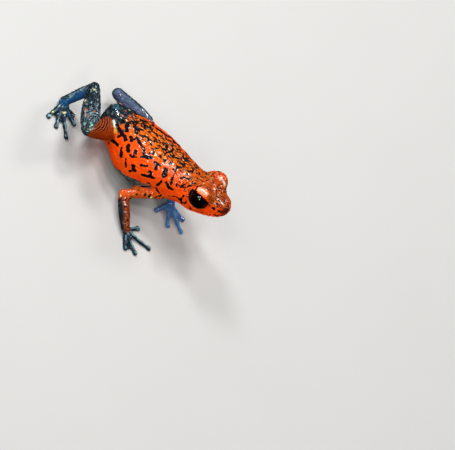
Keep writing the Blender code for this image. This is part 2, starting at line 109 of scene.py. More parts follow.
# joints of the limbs, shoulder and hip as places on the body, and each digit's heading and length
limbPlan = {
    "right": {
        "shoulder": (12.9, -2.5, -1.3), "hip": (1.8, -1.6, 0.35),
        "elbow": (9.4, -5.8, 1.75), "wrist": (13.3, -8.4, 0.8),
        "knee": (-0.75, -8.45, 6.2), "heel": (-4.45, -1.7, 5.1), "ankle": (-5.3, -3.6, 0.85),
        "fingers": ((66.0, 3.1), (26.0, 4.9), (-11.0, 3.8), (-38.0, 2.9)),
        "toes": ((14.0, 2.6), (-6.0, 3.6), (-37.0, 5.3), (-59.0, 4.2), (-85.0, 3.7)),
    },
    "left": {
        "shoulder": (12.9, 2.5, -1.3), "hip": (1.8, 1.6, 0.1),
        "elbow": (11.0, 5.5, 2.2), "wrist": (14.6, 1.7, 0.9),
        "knee": (5.25, 5.85, 1.9), "heel": (-1.6, 4.25, 2.45), "ankle": (1.5, 7.1, 0.8),
        "fingers": ((-100.0, 2.7), (-48.0, 3.5), (-14.0, 4.4), (14.0, 3.2)),
        "toes": ((-54.0, 2.7), (-30.0, 3.7), (-9.0, 4.9), (9.0, 5.6), (27.0, 4.0)),
    },
}
toMiddle = np.array(bodyPlan["toMiddle"])
tipHeight = 0.17


def smoothStep(value):
    value = np.clip(value, 0.0, 1.0)
    return value * value * (3.0 - 2.0 * value)


def rise(value, start, width):  # 0 up to the start, 1 from start plus width on, smooth between
    return smoothStep((value - start) / width)


def fall(value, end, width):  # 1 up to end less width, 0 from the end on
    return smoothStep((end - value) / width)


def bell(distance, width):
    return np.exp(-(distance / width) ** 2)


def apartFrom(points, place):
    return np.linalg.norm(points - place, axis=1)


# the line through the middle of the body, sampled from behind the vent to past the snout
spineStep = 0.05
spineMarks = np.arange(-3.0, 24.01, spineStep)
liftLength = bodyPlan["liftEnd"] - bodyPlan["liftStart"]
spineTilt = np.radians(bodyPlan["headLift"]) * rise(spineMarks, bodyPlan["liftStart"], liftLength)
spineForward = np.concatenate(([0.0], np.cumsum(np.cos(spineTilt[:-1]) * spineStep))) + spineMarks[0]
spineHeight = np.concatenate(([0.0], np.cumsum(np.sin(spineTilt[:-1]) * spineStep)))


def onBody(distance, side, height):  # a place on the body as a point of the model, in millimetres
    tilt = np.interp(distance, spineMarks, spineTilt)
    forward = np.interp(distance, spineMarks, spineForward) - height * np.sin(tilt)
    upward = np.interp(distance, spineMarks, spineHeight) + height * np.cos(tilt)
    pitch = math.radians(bodyPlan["pitch"])
    side = side + np.interp(distance, bodyPlan["bendMarks"], bodyPlan["bend"])
    return np.array((
        forward * math.cos(pitch) - upward * math.sin(pitch), side,
        forward * math.sin(pitch) + upward * math.cos(pitch) + bodyPlan["ventHeight"],
    )) + toMiddle


def ofPair(place, side):  # a place that both sides have: side is -1 for the right, 1 for the left
    return onBody(place[0], side * place[1], place[2])


def bodyDirection(distance, direction):
    ahead = onBody(distance + 0.01, 0.0, 0.0) - onBody(distance, 0.0, 0.0)
    ahead /= np.linalg.norm(ahead)
    up = np.cross(ahead, (0.0, 1.0, 0.0))
    found = ahead * direction[0] + np.array((0.0, 1.0, 0.0)) * direction[1] + up * direction[2]
    return found / np.linalg.norm(found)


def bodyCoords(points):  # the way back: each point's distance from the vent, side and height
    pitch = math.radians(bodyPlan["pitch"])
    own = points - toMiddle
    raised = own[:, 2] - bodyPlan["ventHeight"]
    forward = own[:, 0] * math.cos(pitch) + raised * math.sin(pitch)
    upward = raised * math.cos(pitch) - own[:, 0] * math.sin(pitch)
    distance = forward.copy()
    for repeat in range(4):
        tilt = np.interp(distance, spineMarks, spineTilt)
        apart = forward - np.interp(distance, spineMarks, spineForward)
        above = upward - np.interp(distance, spineMarks, spineHeight)
        distance += apart * np.cos(tilt) + above * np.sin(tilt)
    height = above * np.cos(tilt) - apart * np.sin(tilt)
    return distance, own[:, 1] - np.interp(distance, bodyPlan["bendMarks"], bodyPlan["bend"]), height


def jointAt(side, name):
    if name in ("shoulder", "hip"):
        return onBody(*limbPlan[side][name])
    return np.array(limbPlan[side][name]) + toMiddle


def eachDigit():
    for side in ("right", "left"):
        for kind, base in (("fingers", "wrist"), ("toes", "ankle")):
            root = jointAt(side, base)
            for heading, length in limbPlan[side][kind]:
                way = np.array((math.cos(math.radians(heading)), math.sin(math.radians(heading)), 0.0))
                tip = root * (1.0, 1.0, 0.0) + way * length + (0.0, 0.0, tipHeight)
                yield side, kind, root, tip, way, length


# camera: a long lens from the right and above, as in the photograph
cameraSetup = {
    "right": (0.5853, 0.52, 0.622),
    "up": (-0.8075, 0.4434, 0.3891),
    "toCamera": (-0.0736, -0.73, 0.6794),
    "aim": (14.239, 1.178, 8.042),
    "distance": 1200.0,
    "fieldWidth": 61.5,
    "imageSize": (455, 450),
    "sensor": 36.0,
}
pictureRight, pictureUp, towardCamera = (np.array(cameraSetup[key]) for key in ("right", "up", "toCamera"))


def makeCamera():
    right, toCamera = (Vector(cameraSetup[key]).normalized() for key in ("right", "toCamera"))
    place = (Vector(cameraSetup["aim"]) + toCamera * cameraSetup["distance"]) * mm
    bpy.ops.object.camera_add(location=place)
    camera = bpy.context.object
    camera.name = "camera"
    up = toCamera.cross(right).normalized()
    right = up.cross(toCamera)
    camera.matrix_world = Matrix.Translation(place) @ Matrix((right, up, toCamera)).transposed().to_4x4()
    camera.data.sensor_width = cameraSetup["sensor"]
    camera.data.lens = cameraSetup["sensor"] * cameraSetup["distance"] / cameraSetup["fieldWidth"]
    camera.data.clip_start = 0.05
    camera.data.clip_end = 10.0
    bpy.context.scene.camera = camera
    print("camera placed")


def photoRay(across, down):  # from a place in the picture to a ray in the model's millimetres
    size = cameraSetup["imageSize"]
    scale = cameraSetup["fieldWidth"] / size[0]
    aim = np.array(cameraSetup["aim"])
    sideways = (across - 0.5 * size[0]) * scale
    downward = (down - 0.5 * size[1]) * scale
    target = aim + pictureRight * sideways - pictureUp * downward
    start = aim + towardCamera * cameraSetup["distance"]
    way = target - start
    return start, way / np.linalg.norm(way)


def makeOnly(piece):
    bpy.ops.object.select_all(action="DESELECT")
    piece.select_set(True)
    bpy.context.view_layer.objects.active = piece


def addModifier(piece, kind, **settings):
    modifier = piece.modifiers.new(kind.lower(), kind)
    for key, value in settings.items():
        setattr(modifier, key, value)
    makeOnly(piece)
    bpy.ops.object.modifier_apply(modifier=modifier.name)


def readPoints(piece):
    flat = np.empty(len(piece.data.vertices) * 3)
    piece.data.vertices.foreach_get("co", flat)
    return flat.reshape(-1, 3) / mm


def readNormals(piece):
    flat = np.empty(len(piece.data.vertices) * 3)
    piece.data.vertex_normals.foreach_get("vector", flat)
    return flat.reshape(-1, 3)


def writePoints(piece, points):
    piece.data.vertices.foreach_set("co", (points * mm).ravel())
    piece.data.update()


# skin: one surface over all the flesh
skinForm = {
    "swell": 0.26,
    "merge": 0.002,
    "voxel": 0.145,
    "smoothing": 4,
    "lidRadius": 1.76,
    "lidSegments": 40,
    "lidRings": 24,
    "jointRounds": 14,
    "softNeck": 0.55,
    "softJoints": (("shoulder", 1.6), ("hip", 2.0), ("elbow", 1.1), ("wrist", 0.9), ("knee", 1.5),
                   ("heel", 1.1), ("ankle", 0.9)),
}
flesh = [name for name in nodes if not name.startswith("eye")]


def makeSkinBlank():
    bpy.ops.object.select_all(action="DESELECT")
    copies = []
    for name in sorted(flesh):
        copied = bpy.data.objects.new("copy_" + name, nodes[name].data.copy())
        bpy.context.scene.collection.objects.link(copied)
        copies.append(copied)
    for side in (-1.0, 1.0):
        bpy.ops.mesh.primitive_uv_sphere_add(
            segments=skinForm["lidSegments"], ring_count=skinForm["lidRings"],
            radius=skinForm["lidRadius"] * mm, location=Vector(ofPair(bodyPlan["eye"], side)) * mm)
        copies.append(bpy.context.object)
    bpy.ops.object.select_all(action="DESELECT")
    for copied in copies:
        copied.select_set(True)
    bpy.context.view_layer.objects.active = copies[0]
    bpy.ops.object.join()
    skin = bpy.context.object
    skin.name = "skin"
    skin.data.name = "skin"
    bpy.ops.object.transform_apply(location=True, rotation=True, scale=True)
    # the copies swell until they meet, become one surface, and shrink back
    bpy.ops.object.mode_set(mode="EDIT")
    bpy.ops.mesh.select_all(action="SELECT")
    bpy.ops.mesh.remove_doubles(threshold=skinForm["merge"] * mm)
    bpy.ops.transform.shrink_fatten(value=skinForm["swell"] * mm)
    bpy.ops.object.mode_set(mode="OBJECT")
    addModifier(skin, "REMESH", mode="VOXEL", voxel_size=skinForm["voxel"] * mm)
    keepOutside(skin)
    addModifier(skin, "SMOOTH", factor=0.5, iterations=skinForm["smoothing"])
    addModifier(skin, "DISPLACE", strength=-skinForm["swell"] * mm, mid_level=0.0)
    skin.data.materials.clear()
    print("skin blank:", len(skin.data.vertices), "points")
    return skin


def keepOutside(piece):  # drops what the surface closes in, and keeps what holds the highest point
    makeOnly(piece)
    bpy.ops.object.mode_set(mode="EDIT")
    bpy.ops.mesh.select_all(action="DESELECT")
    shape = bmesh.from_edit_mesh(piece.data)
    shape.verts.ensure_lookup_table()
    top = max(shape.verts, key=lambda vert: vert.co.z)
    top.select = True
    bmesh.update_edit_mesh(piece.data)
    bpy.ops.mesh.select_linked()
    bpy.ops.mesh.select_all(action="INVERT")
    bpy.ops.mesh.delete(type="VERT")
    bpy.ops.object.mode_set(mode="OBJECT")


def softenWhere(skin, weights, rounds):
    group = skin.vertex_groups.new(name="soft")
    for index in np.nonzero(weights > 0.02)[0]:
        group.add((int(index),), float(weights[index]), "REPLACE")
    addModifier(skin, "SMOOTH", factor=0.5, iterations=rounds, vertex_group="soft")
    skin.vertex_groups.clear()


def softenJoints(skin):
    points = readPoints(skin)
    distance, across, height = bodyCoords(points)
    weights = bell(distance - bodyPlan["neck"], skinForm["softNeck"]) * (np.abs(across) < 4.0)
    for side in ("right", "left"):
        for name, reach in skinForm["softJoints"]:
            apart = apartFrom(points, jointAt(side, name))
            weights = np.maximum(weights, fall(apart, reach * 1.5, reach))
    softenWhere(skin, weights, skinForm["jointRounds"])


def refineHead(skin):  # splits the faces of the head, for finer shapes there
    points = readPoints(skin)
    distance, across, height = bodyCoords(points)
    wanted = (distance > headForm["fineFrom"]) & (np.abs(across) < 4.6) & (points[:, 2] > 3.0)
    wanted &= (height > -1.6) & (height < 4.5)
    makeOnly(skin)
    bpy.ops.object.mode_set(mode="EDIT")
    bpy.ops.mesh.select_mode(type="VERT")
    bpy.ops.mesh.select_all(action="DESELECT")
    shape = bmesh.from_edit_mesh(skin.data)
    for vert, chosen in zip(shape.verts, wanted):
        vert.select = bool(chosen)
    shape.select_flush_mode()
    bmesh.update_edit_mesh(skin.data)
    bpy.ops.mesh.select_mode(type="FACE")
    bpy.ops.mesh.subdivide(number_cuts=1, smoothness=0.6)
    bpy.ops.object.mode_set(mode="OBJECT")


# shapes sculpted into the blank
headForm = {
    "fineFrom": 15.7,
    "lidCrease": 0.3,
    "creaseRounds": 14,
    "opening": (0.09, 0.19),
    "openingHalf": (1.36, 0.87),
    "openingTilt": -19.0,
    "openingPower": 2.3,
    "lidEdge": 1.5,
    "lidReach": 2.4,
    "lidRim": 0.045,
    "lidSpread": 0.5,
    "behindLid": 1.12,
    "mouthDepth": 0.11,
    "mouthWidth": 0.055,
    "lipHeight": 0.035,
    "lipWidth": 0.17,
    "nostrilDepth": 0.2,
    "nostrilWidth": 0.13,
    "nostrilRim": 0.035,
    "drumRadius": 0.42,
    "drumDepth": 0.05,
    "snoutRidge": 0.06,
    "ridgeStart": (18.4, 2.35, 1.45),
    "ridgeEnd": (20.5, 1.3, 1.05),
    "cheek": 0.05,
    "cheekPlace": (19.3, 2.3, 0.55),
}


def eyeAxes(side):
    aim = bodyPlan["eyeAim"]
    aim = bodyDirection(bodyPlan["eye"][0], (aim[0], side * aim[1], aim[2]))
    forward = bodyDirection(bodyPlan["eye"][0], (1.0, 0.0, 0.0))
    forward = forward - aim * forward.dot(aim)
    forward /= np.linalg.norm(forward)
    up = np.cross(aim, forward)
    up = up if up[2] > 0.0 else -up
    return ofPair(bodyPlan["eye"], side), aim, forward, up


def blendLids(skin):  # the lids run into the head without a sharp valley
    points = readPoints(skin)
    weights = np.zeros(len(points))
    for side in (-1.0, 1.0):
        centre, aim, forward, up = eyeAxes(side)
        outward = (points - centre) @ aim
        crease = bell(apartFrom(points, centre) - 2.0, headForm["lidCrease"])
        weights = np.maximum(weights, crease * (outward < 1.2))
    softenWhere(skin, weights, headForm["creaseRounds"])


def acrossOpening(own, forward, up):  # 1 along the edge of the opening between the lids, and how far up in it
    tilt = math.radians(headForm["openingTilt"])
    own = own * (headForm["lidEdge"] / np.maximum(np.linalg.norm(own, axis=1), 0.01))[:, None]
    across = own @ forward - headForm["opening"][0]
    upward = own @ up - headForm["opening"][1]
    lengthwise = (across * math.cos(tilt) + upward * math.sin(tilt)) / headForm["openingHalf"][0]
    crosswise = (upward * math.cos(tilt) - across * math.sin(tilt)) / headForm["openingHalf"][1]
    power = headForm["openingPower"]
    return (np.abs(lengthwise) ** power + np.abs(crosswise) ** power) ** (1.0 / power), crosswise


def openLids(points):
    for side in (-1.0, 1.0):
        centre, aim, forward, up = eyeAxes(side)
        own = points - centre
        radius = np.linalg.norm(own, axis=1)
        spread, crosswise = acrossOpening(own, forward, up)
        edge = headForm["lidEdge"]
        lid = edge + (radius - edge) * rise(spread, 1.0, headForm["lidSpread"])
        lid = lid + headForm["lidRim"] * bell(spread - 1.07, 0.05)
        inside = fall(spread, 1.0, 0.07)
        wanted = lid + (headForm["behindLid"] - lid) * inside
        near = (own @ aim > 0.0) & (radius < headForm["lidReach"])
        share = np.where(near, wanted / np.maximum(radius, 0.01), 1.0)
        points = centre + own * share[:, None]
    return points


def mouthLine(distance):
    corner, front = bodyPlan["mouthCorner"], bodyPlan["mouthFront"]
    share = np.clip((distance - corner[0]) / (front[0] - corner[0]), 0.0, 1.0)
    return corner[1] + (front[1] - corner[1]) * share ** 0.8


def sculptHead(points, normals):
    distance, across, height = bodyCoords(points)
    push = np.zeros(len(points))
    ahead = rise(distance, 15.9, 0.5)
    gap = height - mouthLine(distance)
    push -= headForm["mouthDepth"] * bell(gap, headForm["mouthWidth"]) * ahead
    push += headForm["lipHeight"] * bell(np.abs(gap) - headForm["lipWidth"], 0.09) * ahead
    for side in (-1.0, 1.0):
        apart = apartFrom(points, ofPair(bodyPlan["nostril"], side))
        push -= headForm["nostrilDepth"] * bell(apart, headForm["nostrilWidth"])
        push += headForm["nostrilRim"] * bell(apart - 0.26, 0.08)
        apart = apartFrom(points, ofPair(bodyPlan["eardrum"], side))
        push -= headForm["drumDepth"] * bell(apart - headForm["drumRadius"], 0.09)
        # the ridge from eye to nostril, and the hollow cheek below it
        start = ofPair(headForm["ridgeStart"], side)
        ridge = ofPair(headForm["ridgeEnd"], side) - start
        share = np.clip(((points - start) @ ridge) / (ridge @ ridge), 0.0, 1.0)
        push += headForm["snoutRidge"] * bell(apartFrom(points, start + share[:, None] * ridge), 0.4)
        hollow = apartFrom(points, ofPair(headForm["cheekPlace"], side))
        push -= headForm["cheek"] * bell(hollow, 0.6)
    return points + normals * push[:, None]


bodyForm = {
    "granule": 0.02,
    "granuleSize": 0.5,
    "spine": 0.05,
    "bumps": ((2.6, 1.35, 1.3, 0.7, 0.16), (12.2, 1.6, 1.2, 0.8, 0.1)),
    "flankFolds": 0.03,
    "hipMuscle": (0.6, -2.3, 0.5),
    "muscleReach": 1.3,
    "muscleSize": 0.6,
}


def sculptBody(points, normals):
    distance, across, height = bodyCoords(points)
    top = smoothStep(height / 1.5)
    push = np.zeros(len(points))
    # hip bones and shoulder blades: distance, half apart, length, width and height of each pair
    for along, apart, length, width, size in bodyForm["bumps"]:
        push += size * bell(distance - along, length) * bell(np.abs(across) - apart, width) * top
    muscle = apartFrom(points, onBody(*bodyForm["hipMuscle"]))
    push += bodyForm["muscleSize"] * bell(muscle, bodyForm["muscleReach"])
    push -= bodyForm["spine"] * bell(across, 0.35) * top * rise(distance, 1.0, 2.0)
    onFlank = (np.abs(across) < 4.8) * fall(height, 2.0, 2.0)
    folds = np.sin(distance * 2.1 + height * 1.3 + np.sin(height * 2.0))
    push += bodyForm["flankFolds"] * folds * onFlank
    return points + normals * push[:, None]


digitForm = {
    "joints": (0.42, 0.66),
    "jointSwell": 0.06,
    "jointWidth": 0.17,
    "discCentre": 0.3,
    "scutes": 0.05,
    "scuteApart": 0.17,
    "scuteWidth": 0.16,
}


def sculptDigits(points, normals):
    push = np.zeros(len(points))
    top = smoothStep(normals[:, 2] / 0.5 + 0.2)
    for side, kind, root, tip, way, length in eachDigit():
        own = points - root
        along = own @ way
        across = own @ np.array((-way[1], way[0], 0.0))
        on = (np.abs(across) < 0.6) & (points[:, 2] < 1.0) & (along < length + 0.4)
        for share in digitForm["joints"]:
            push += digitForm["jointSwell"] * bell(along - share * length, digitForm["jointWidth"]) * on
        beyond = along - (length - digitForm["discCentre"])
        for shift in (-1.0, 1.0):
            apart = np.hypot(beyond, across - shift * digitForm["scuteApart"])
            push += digitForm["scutes"] * bell(apart, digitForm["scuteWidth"]) * top * on
    return points + normals * push[:, None]


def waves(points, size, seed):  # smooth seeded noise from about -1 to 1, in waves of about that size
    dice = np.random.default_rng(seed)
    total = np.zeros(len(points))
    for turn in range(14):
        way = dice.normal(size=3)
        way *= 2.0 * math.pi / (size * (0.7 + 0.6 * dice.random()) * np.linalg.norm(way))
        total += np.sin(points @ way + dice.random() * 2.0 * math.pi)
    return total / 3.7


def sculptGranules(points, normals):  # small swellings all over, none on the soles
    size = bodyForm["granuleSize"]
    rough = waves(points, size, 21) + 0.6 * waves(points, 1.3 * size, 22)
    push = bodyForm["granule"] * rough * rise(points[:, 2], 0.5, 0.6)
    return points + normals * push[:, None]


def layOnFloor(points):  # the soles are flat where they meet the floor
    points = points.copy()
    points[:, 2] = np.maximum(points[:, 2], 0.0)
    return points


def treeOf(piece):
    places = [Vector(point) for point in readPoints(piece)]
    return BVHTree.FromPolygons(places, [tuple(face.vertices) for face in piece.data.polygons])


def nearnessTo(points, name):
    low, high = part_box(name)
    near = np.all((points > np.array(low) / mm - 1.3) & (points < np.array(high) / mm + 1.3), axis=1)
    tree = treeOf(nodes[name])
    found = np.full(len(points), 9.0)
    for index in np.nonzero(near)[0]:
        found[index] = tree.find_nearest(Vector(points[index]))[3]
    return found


def findZones(points):  # which part of the animal each point belongs to, as soft weights
    apart = {name: nearnessTo(points, name) for name in sorted(flesh)}
    least = np.minimum.reduce(list(apart.values()))
    softness = 0.38 + 0.08 * waves(points, 0.7, 17)
    weights = {name: smoothStep(1.0 - (value - least) / softness) for name, value in apart.items()}
    total = sum(weights.values())
    return {name: value / total for name, value in weights.items()}


# black marks of the near flank and head: half width, then places in the 455 by 450 picture
flankMarks = [
    (0.16, ((111.2, 140.9), (113.4, 141.2), (115.9, 143.0), (117.5, 145.1))),
    (0.14, ((108.5, 143.4), (108.6, 143.9))),
    (0.18, ((117.0, 125.3), (118.9, 128.4), (120.7, 131.4), (122.8, 134.4), (124.6, 137.1),
            (125.7, 140.0))),
    (0.14, ((118.3, 136.8), (120.7, 135.5), (122.8, 135.3))),
    (0.19, ((128.4, 123.0), (127.1, 125.4), (126.8, 128.4), (127.1, 130.8))),
    (0.18, ((122.8, 119.8), (123.6, 122.1))),
    (0.1, ((130.8, 121.7), (133.5, 121.1), (136.6, 121.2), (140.2, 121.4))),
    (0.12, ((142.9, 123.4), (145.5, 125.4), (148.2, 127.0), (150.2, 127.9))),
    (0.17, ((134.2, 126.6), (135.7, 129.5), (136.4, 133.2))),
    (0.11, ((137.3, 128.8), (140.2, 129.5), (143.0, 129.9))),
    (0.17, ((130.8, 137.1), (131.2, 140.6))),
    (0.14, ((131.4, 139.3), (134.4, 139.3), (137.3, 137.3))),
    (0.17, ((137.9, 139.3), (139.3, 142.9), (142.0, 146.0), (143.9, 148.7), (144.2, 152.7),
            (145.1, 156.1), (148.2, 157.6), (151.6, 157.9))),
    (0.13, ((140.6, 157.1), (144.6, 156.7))),
    (0.19, ((128.1, 145.7), (127.9, 148.7), (128.4, 151.1))),
    (0.12, ((121.4, 147.5), (121.4, 148.7))),
    (0.19, ((121.2, 151.6), (120.7, 156.4))),
    (0.17, ((135.4, 150.7), (135.0, 154.0), (133.9, 156.7))),
    (0.13, ((130.5, 155.5), (132.9, 157.1), (136.6, 157.1))),
    (0.12, ((125.9, 159.1), (125.6, 162.5), (125.9, 166.5))),
    (0.18, ((133.2, 165.9), (133.2, 170.5))),
    (0.14, ((129.5, 171.4), (132.6, 170.8), (135.7, 170.7))),
    (0.13, ((140.9, 165.2), (143.8, 165.9), (146.9, 165.9))),
    (0.17, ((155.5, 163.2), (156.4, 165.6), (156.1, 168.9))),
    (0.17, ((157.1, 163.8), (159.6, 165.2))),
    (0.23, ((165.9, 169.8), (165.0, 171.9), (163.6, 175.4))),
    (0.17, ((163.6, 171.4), (165.6, 175.4))),
    (0.16, ((142.4, 174.8), (146.4, 175.9), (150.0, 176.1), (153.4, 177.9))),
    (0.17, ((150.2, 172.1), (150.0, 175.9))),
    (0.13, ((157.1, 185.5), (159.1, 183.5), (161.4, 181.7))),
    (0.14, ((166.8, 182.9), (167.9, 185.3), (168.9, 187.7), (172.5, 189.3))),
    (0.11, ((177.7, 165.9), (175.9, 169.2), (174.1, 174.6), (173.4, 177.7))),
    (0.1, ((172.8, 168.8), (175.0, 171.4))),
    (0.1, ((177.7, 165.9), (179.3, 168.3))),
    (0.16, ((172.5, 178.6), (171.0, 183.9))),
    (0.14, ((176.4, 184.2), (176.8, 184.6))),
    (0.11, ((180.8, 187.1), (183.5, 185.3), (185.9, 183.8))),
    (0.1, ((187.1, 188.6), (188.4, 186.2), (190.4, 185.0))),
    (0.1, ((180.8, 178.6), (182.6, 177.5), (185.3, 177.7), (187.9, 178.8), (191.1, 179.0))),
    (0.16, ((164.5, 159.6), (165.0, 162.5))),
    (0.12, ((170.5, 161.6), (171.4, 164.1))),
    (0.1, ((169.2, 163.6), (172.8, 163.4))),
    (0.16, ((160.0, 155.5), (160.7, 157.6))),
    (0.13, ((152.2, 148.7), (154.0, 150.0), (153.6, 153.6))),
    (0.16, ((166.5, 145.7), (167.0, 148.2))),
    (0.11, ((174.1, 149.4), (171.4, 150.2), (169.9, 152.7), (170.7, 155.5))),
    (0.11, ((172.5, 157.1), (175.9, 157.6), (178.6, 159.1))),
    (0.11, ((161.6, 150.4), (164.1, 152.9))),
    (0.12, ((158.5, 145.1), (160.7, 146.4))),
    (0.12, ((154.6, 140.6), (157.1, 142.4))),
    (0.12, ((148.2, 138.8), (151.3, 140.0))),
    (0.13, ((142.4, 136.8), (145.1, 136.2), (147.3, 137.5))),
    (0.11, ((148.7, 131.4), (150.2, 132.3))),
    (0.1, ((152.2, 131.2), (153.8, 132.7))),
    (0.11, ((157.1, 133.8), (158.0, 136.1))),
    (0.1, ((161.6, 136.8), (159.6, 135.7))),
    (0.1, ((162.5, 138.2), (164.5, 140.4))),
    (0.1, ((166.2, 135.4), (167.9, 137.5))),
    (0.1, ((183.0, 157.1), (185.7, 160.7), (187.9, 162.5))),
    (0.12, ((180.4, 163.4), (182.6, 164.1))),
    (0.11, ((187.9, 170.5), (191.1, 171.4))),
    (0.1, ((194.6, 165.6), (196.4, 167.9))),
    (0.1, ((197.5, 178.6), (198.2, 179.6))),
    (0.11, ((194.6, 182.6), (195.4, 183.9))),
    (0.12, ((190.2, 207.4), (190.4, 208.1))),
    (0.11, ((212.7, 207.8), (214.3, 209.1))),
    (0.1, ((213.8, 214.6), (214.6, 214.8))),
    (0.1, ((167.9, 195.8), (171.4, 196.2), (175.4, 196.6), (178.6, 198.2), (180.8, 200.9),
           (183.5, 202.5), (186.4, 202.7))),
    (0.12, ((183.4, 195.8), (182.2, 198.3), (180.4, 200.4), (181.6, 202.6), (184.6, 203.4),
            (186.9, 201.9), (186.2, 200.2))),
    (0.1, ((156.2, 187.9), (157.6, 191.1), (160.3, 194.2), (163.6, 198.0))),
    (0.1, ((155.1, 198.2), (157.6, 196.2), (161.6, 196.2), (163.9, 198.8))),
    (0.13, ((197.1, 186.2), (195.7, 189.3))),
    (0.11, ((138.0, 189.6), (138.6, 189.9))),
    (0.11, ((145.7, 193.9), (144.6, 195.7))),
    (0.12, ((150.0, 195.2), (148.9, 196.9))),
    (0.1, ((129.9, 197.3), (132.6, 196.9))),
    (0.1, ((136.6, 194.1), (137.3, 194.5))),
    (0.08, ((134.5, 179.6), (138.0, 181.0), (141.0, 181.6))),
    (0.08, ((139.0, 187.2), (143.0, 186.6), (148.0, 186.3), (152.0, 186.0))),
    (0.09, ((147.5, 183.2), (150.5, 184.2))),
]
# black flecks over the fore edge of the near forearm
armMarks = [
    (0.09, ((124.7, 206.2), (125.2, 207.0))),
    (0.08, ((127.2, 220.2), (127.0, 221.0))),
    (0.07, ((126.6, 204.6), (127.0, 204.8))),
    (0.08, ((124.2, 213.6), (124.8, 214.4))),
    (0.07, ((127.0, 226.6), (127.3, 227.2))),
]
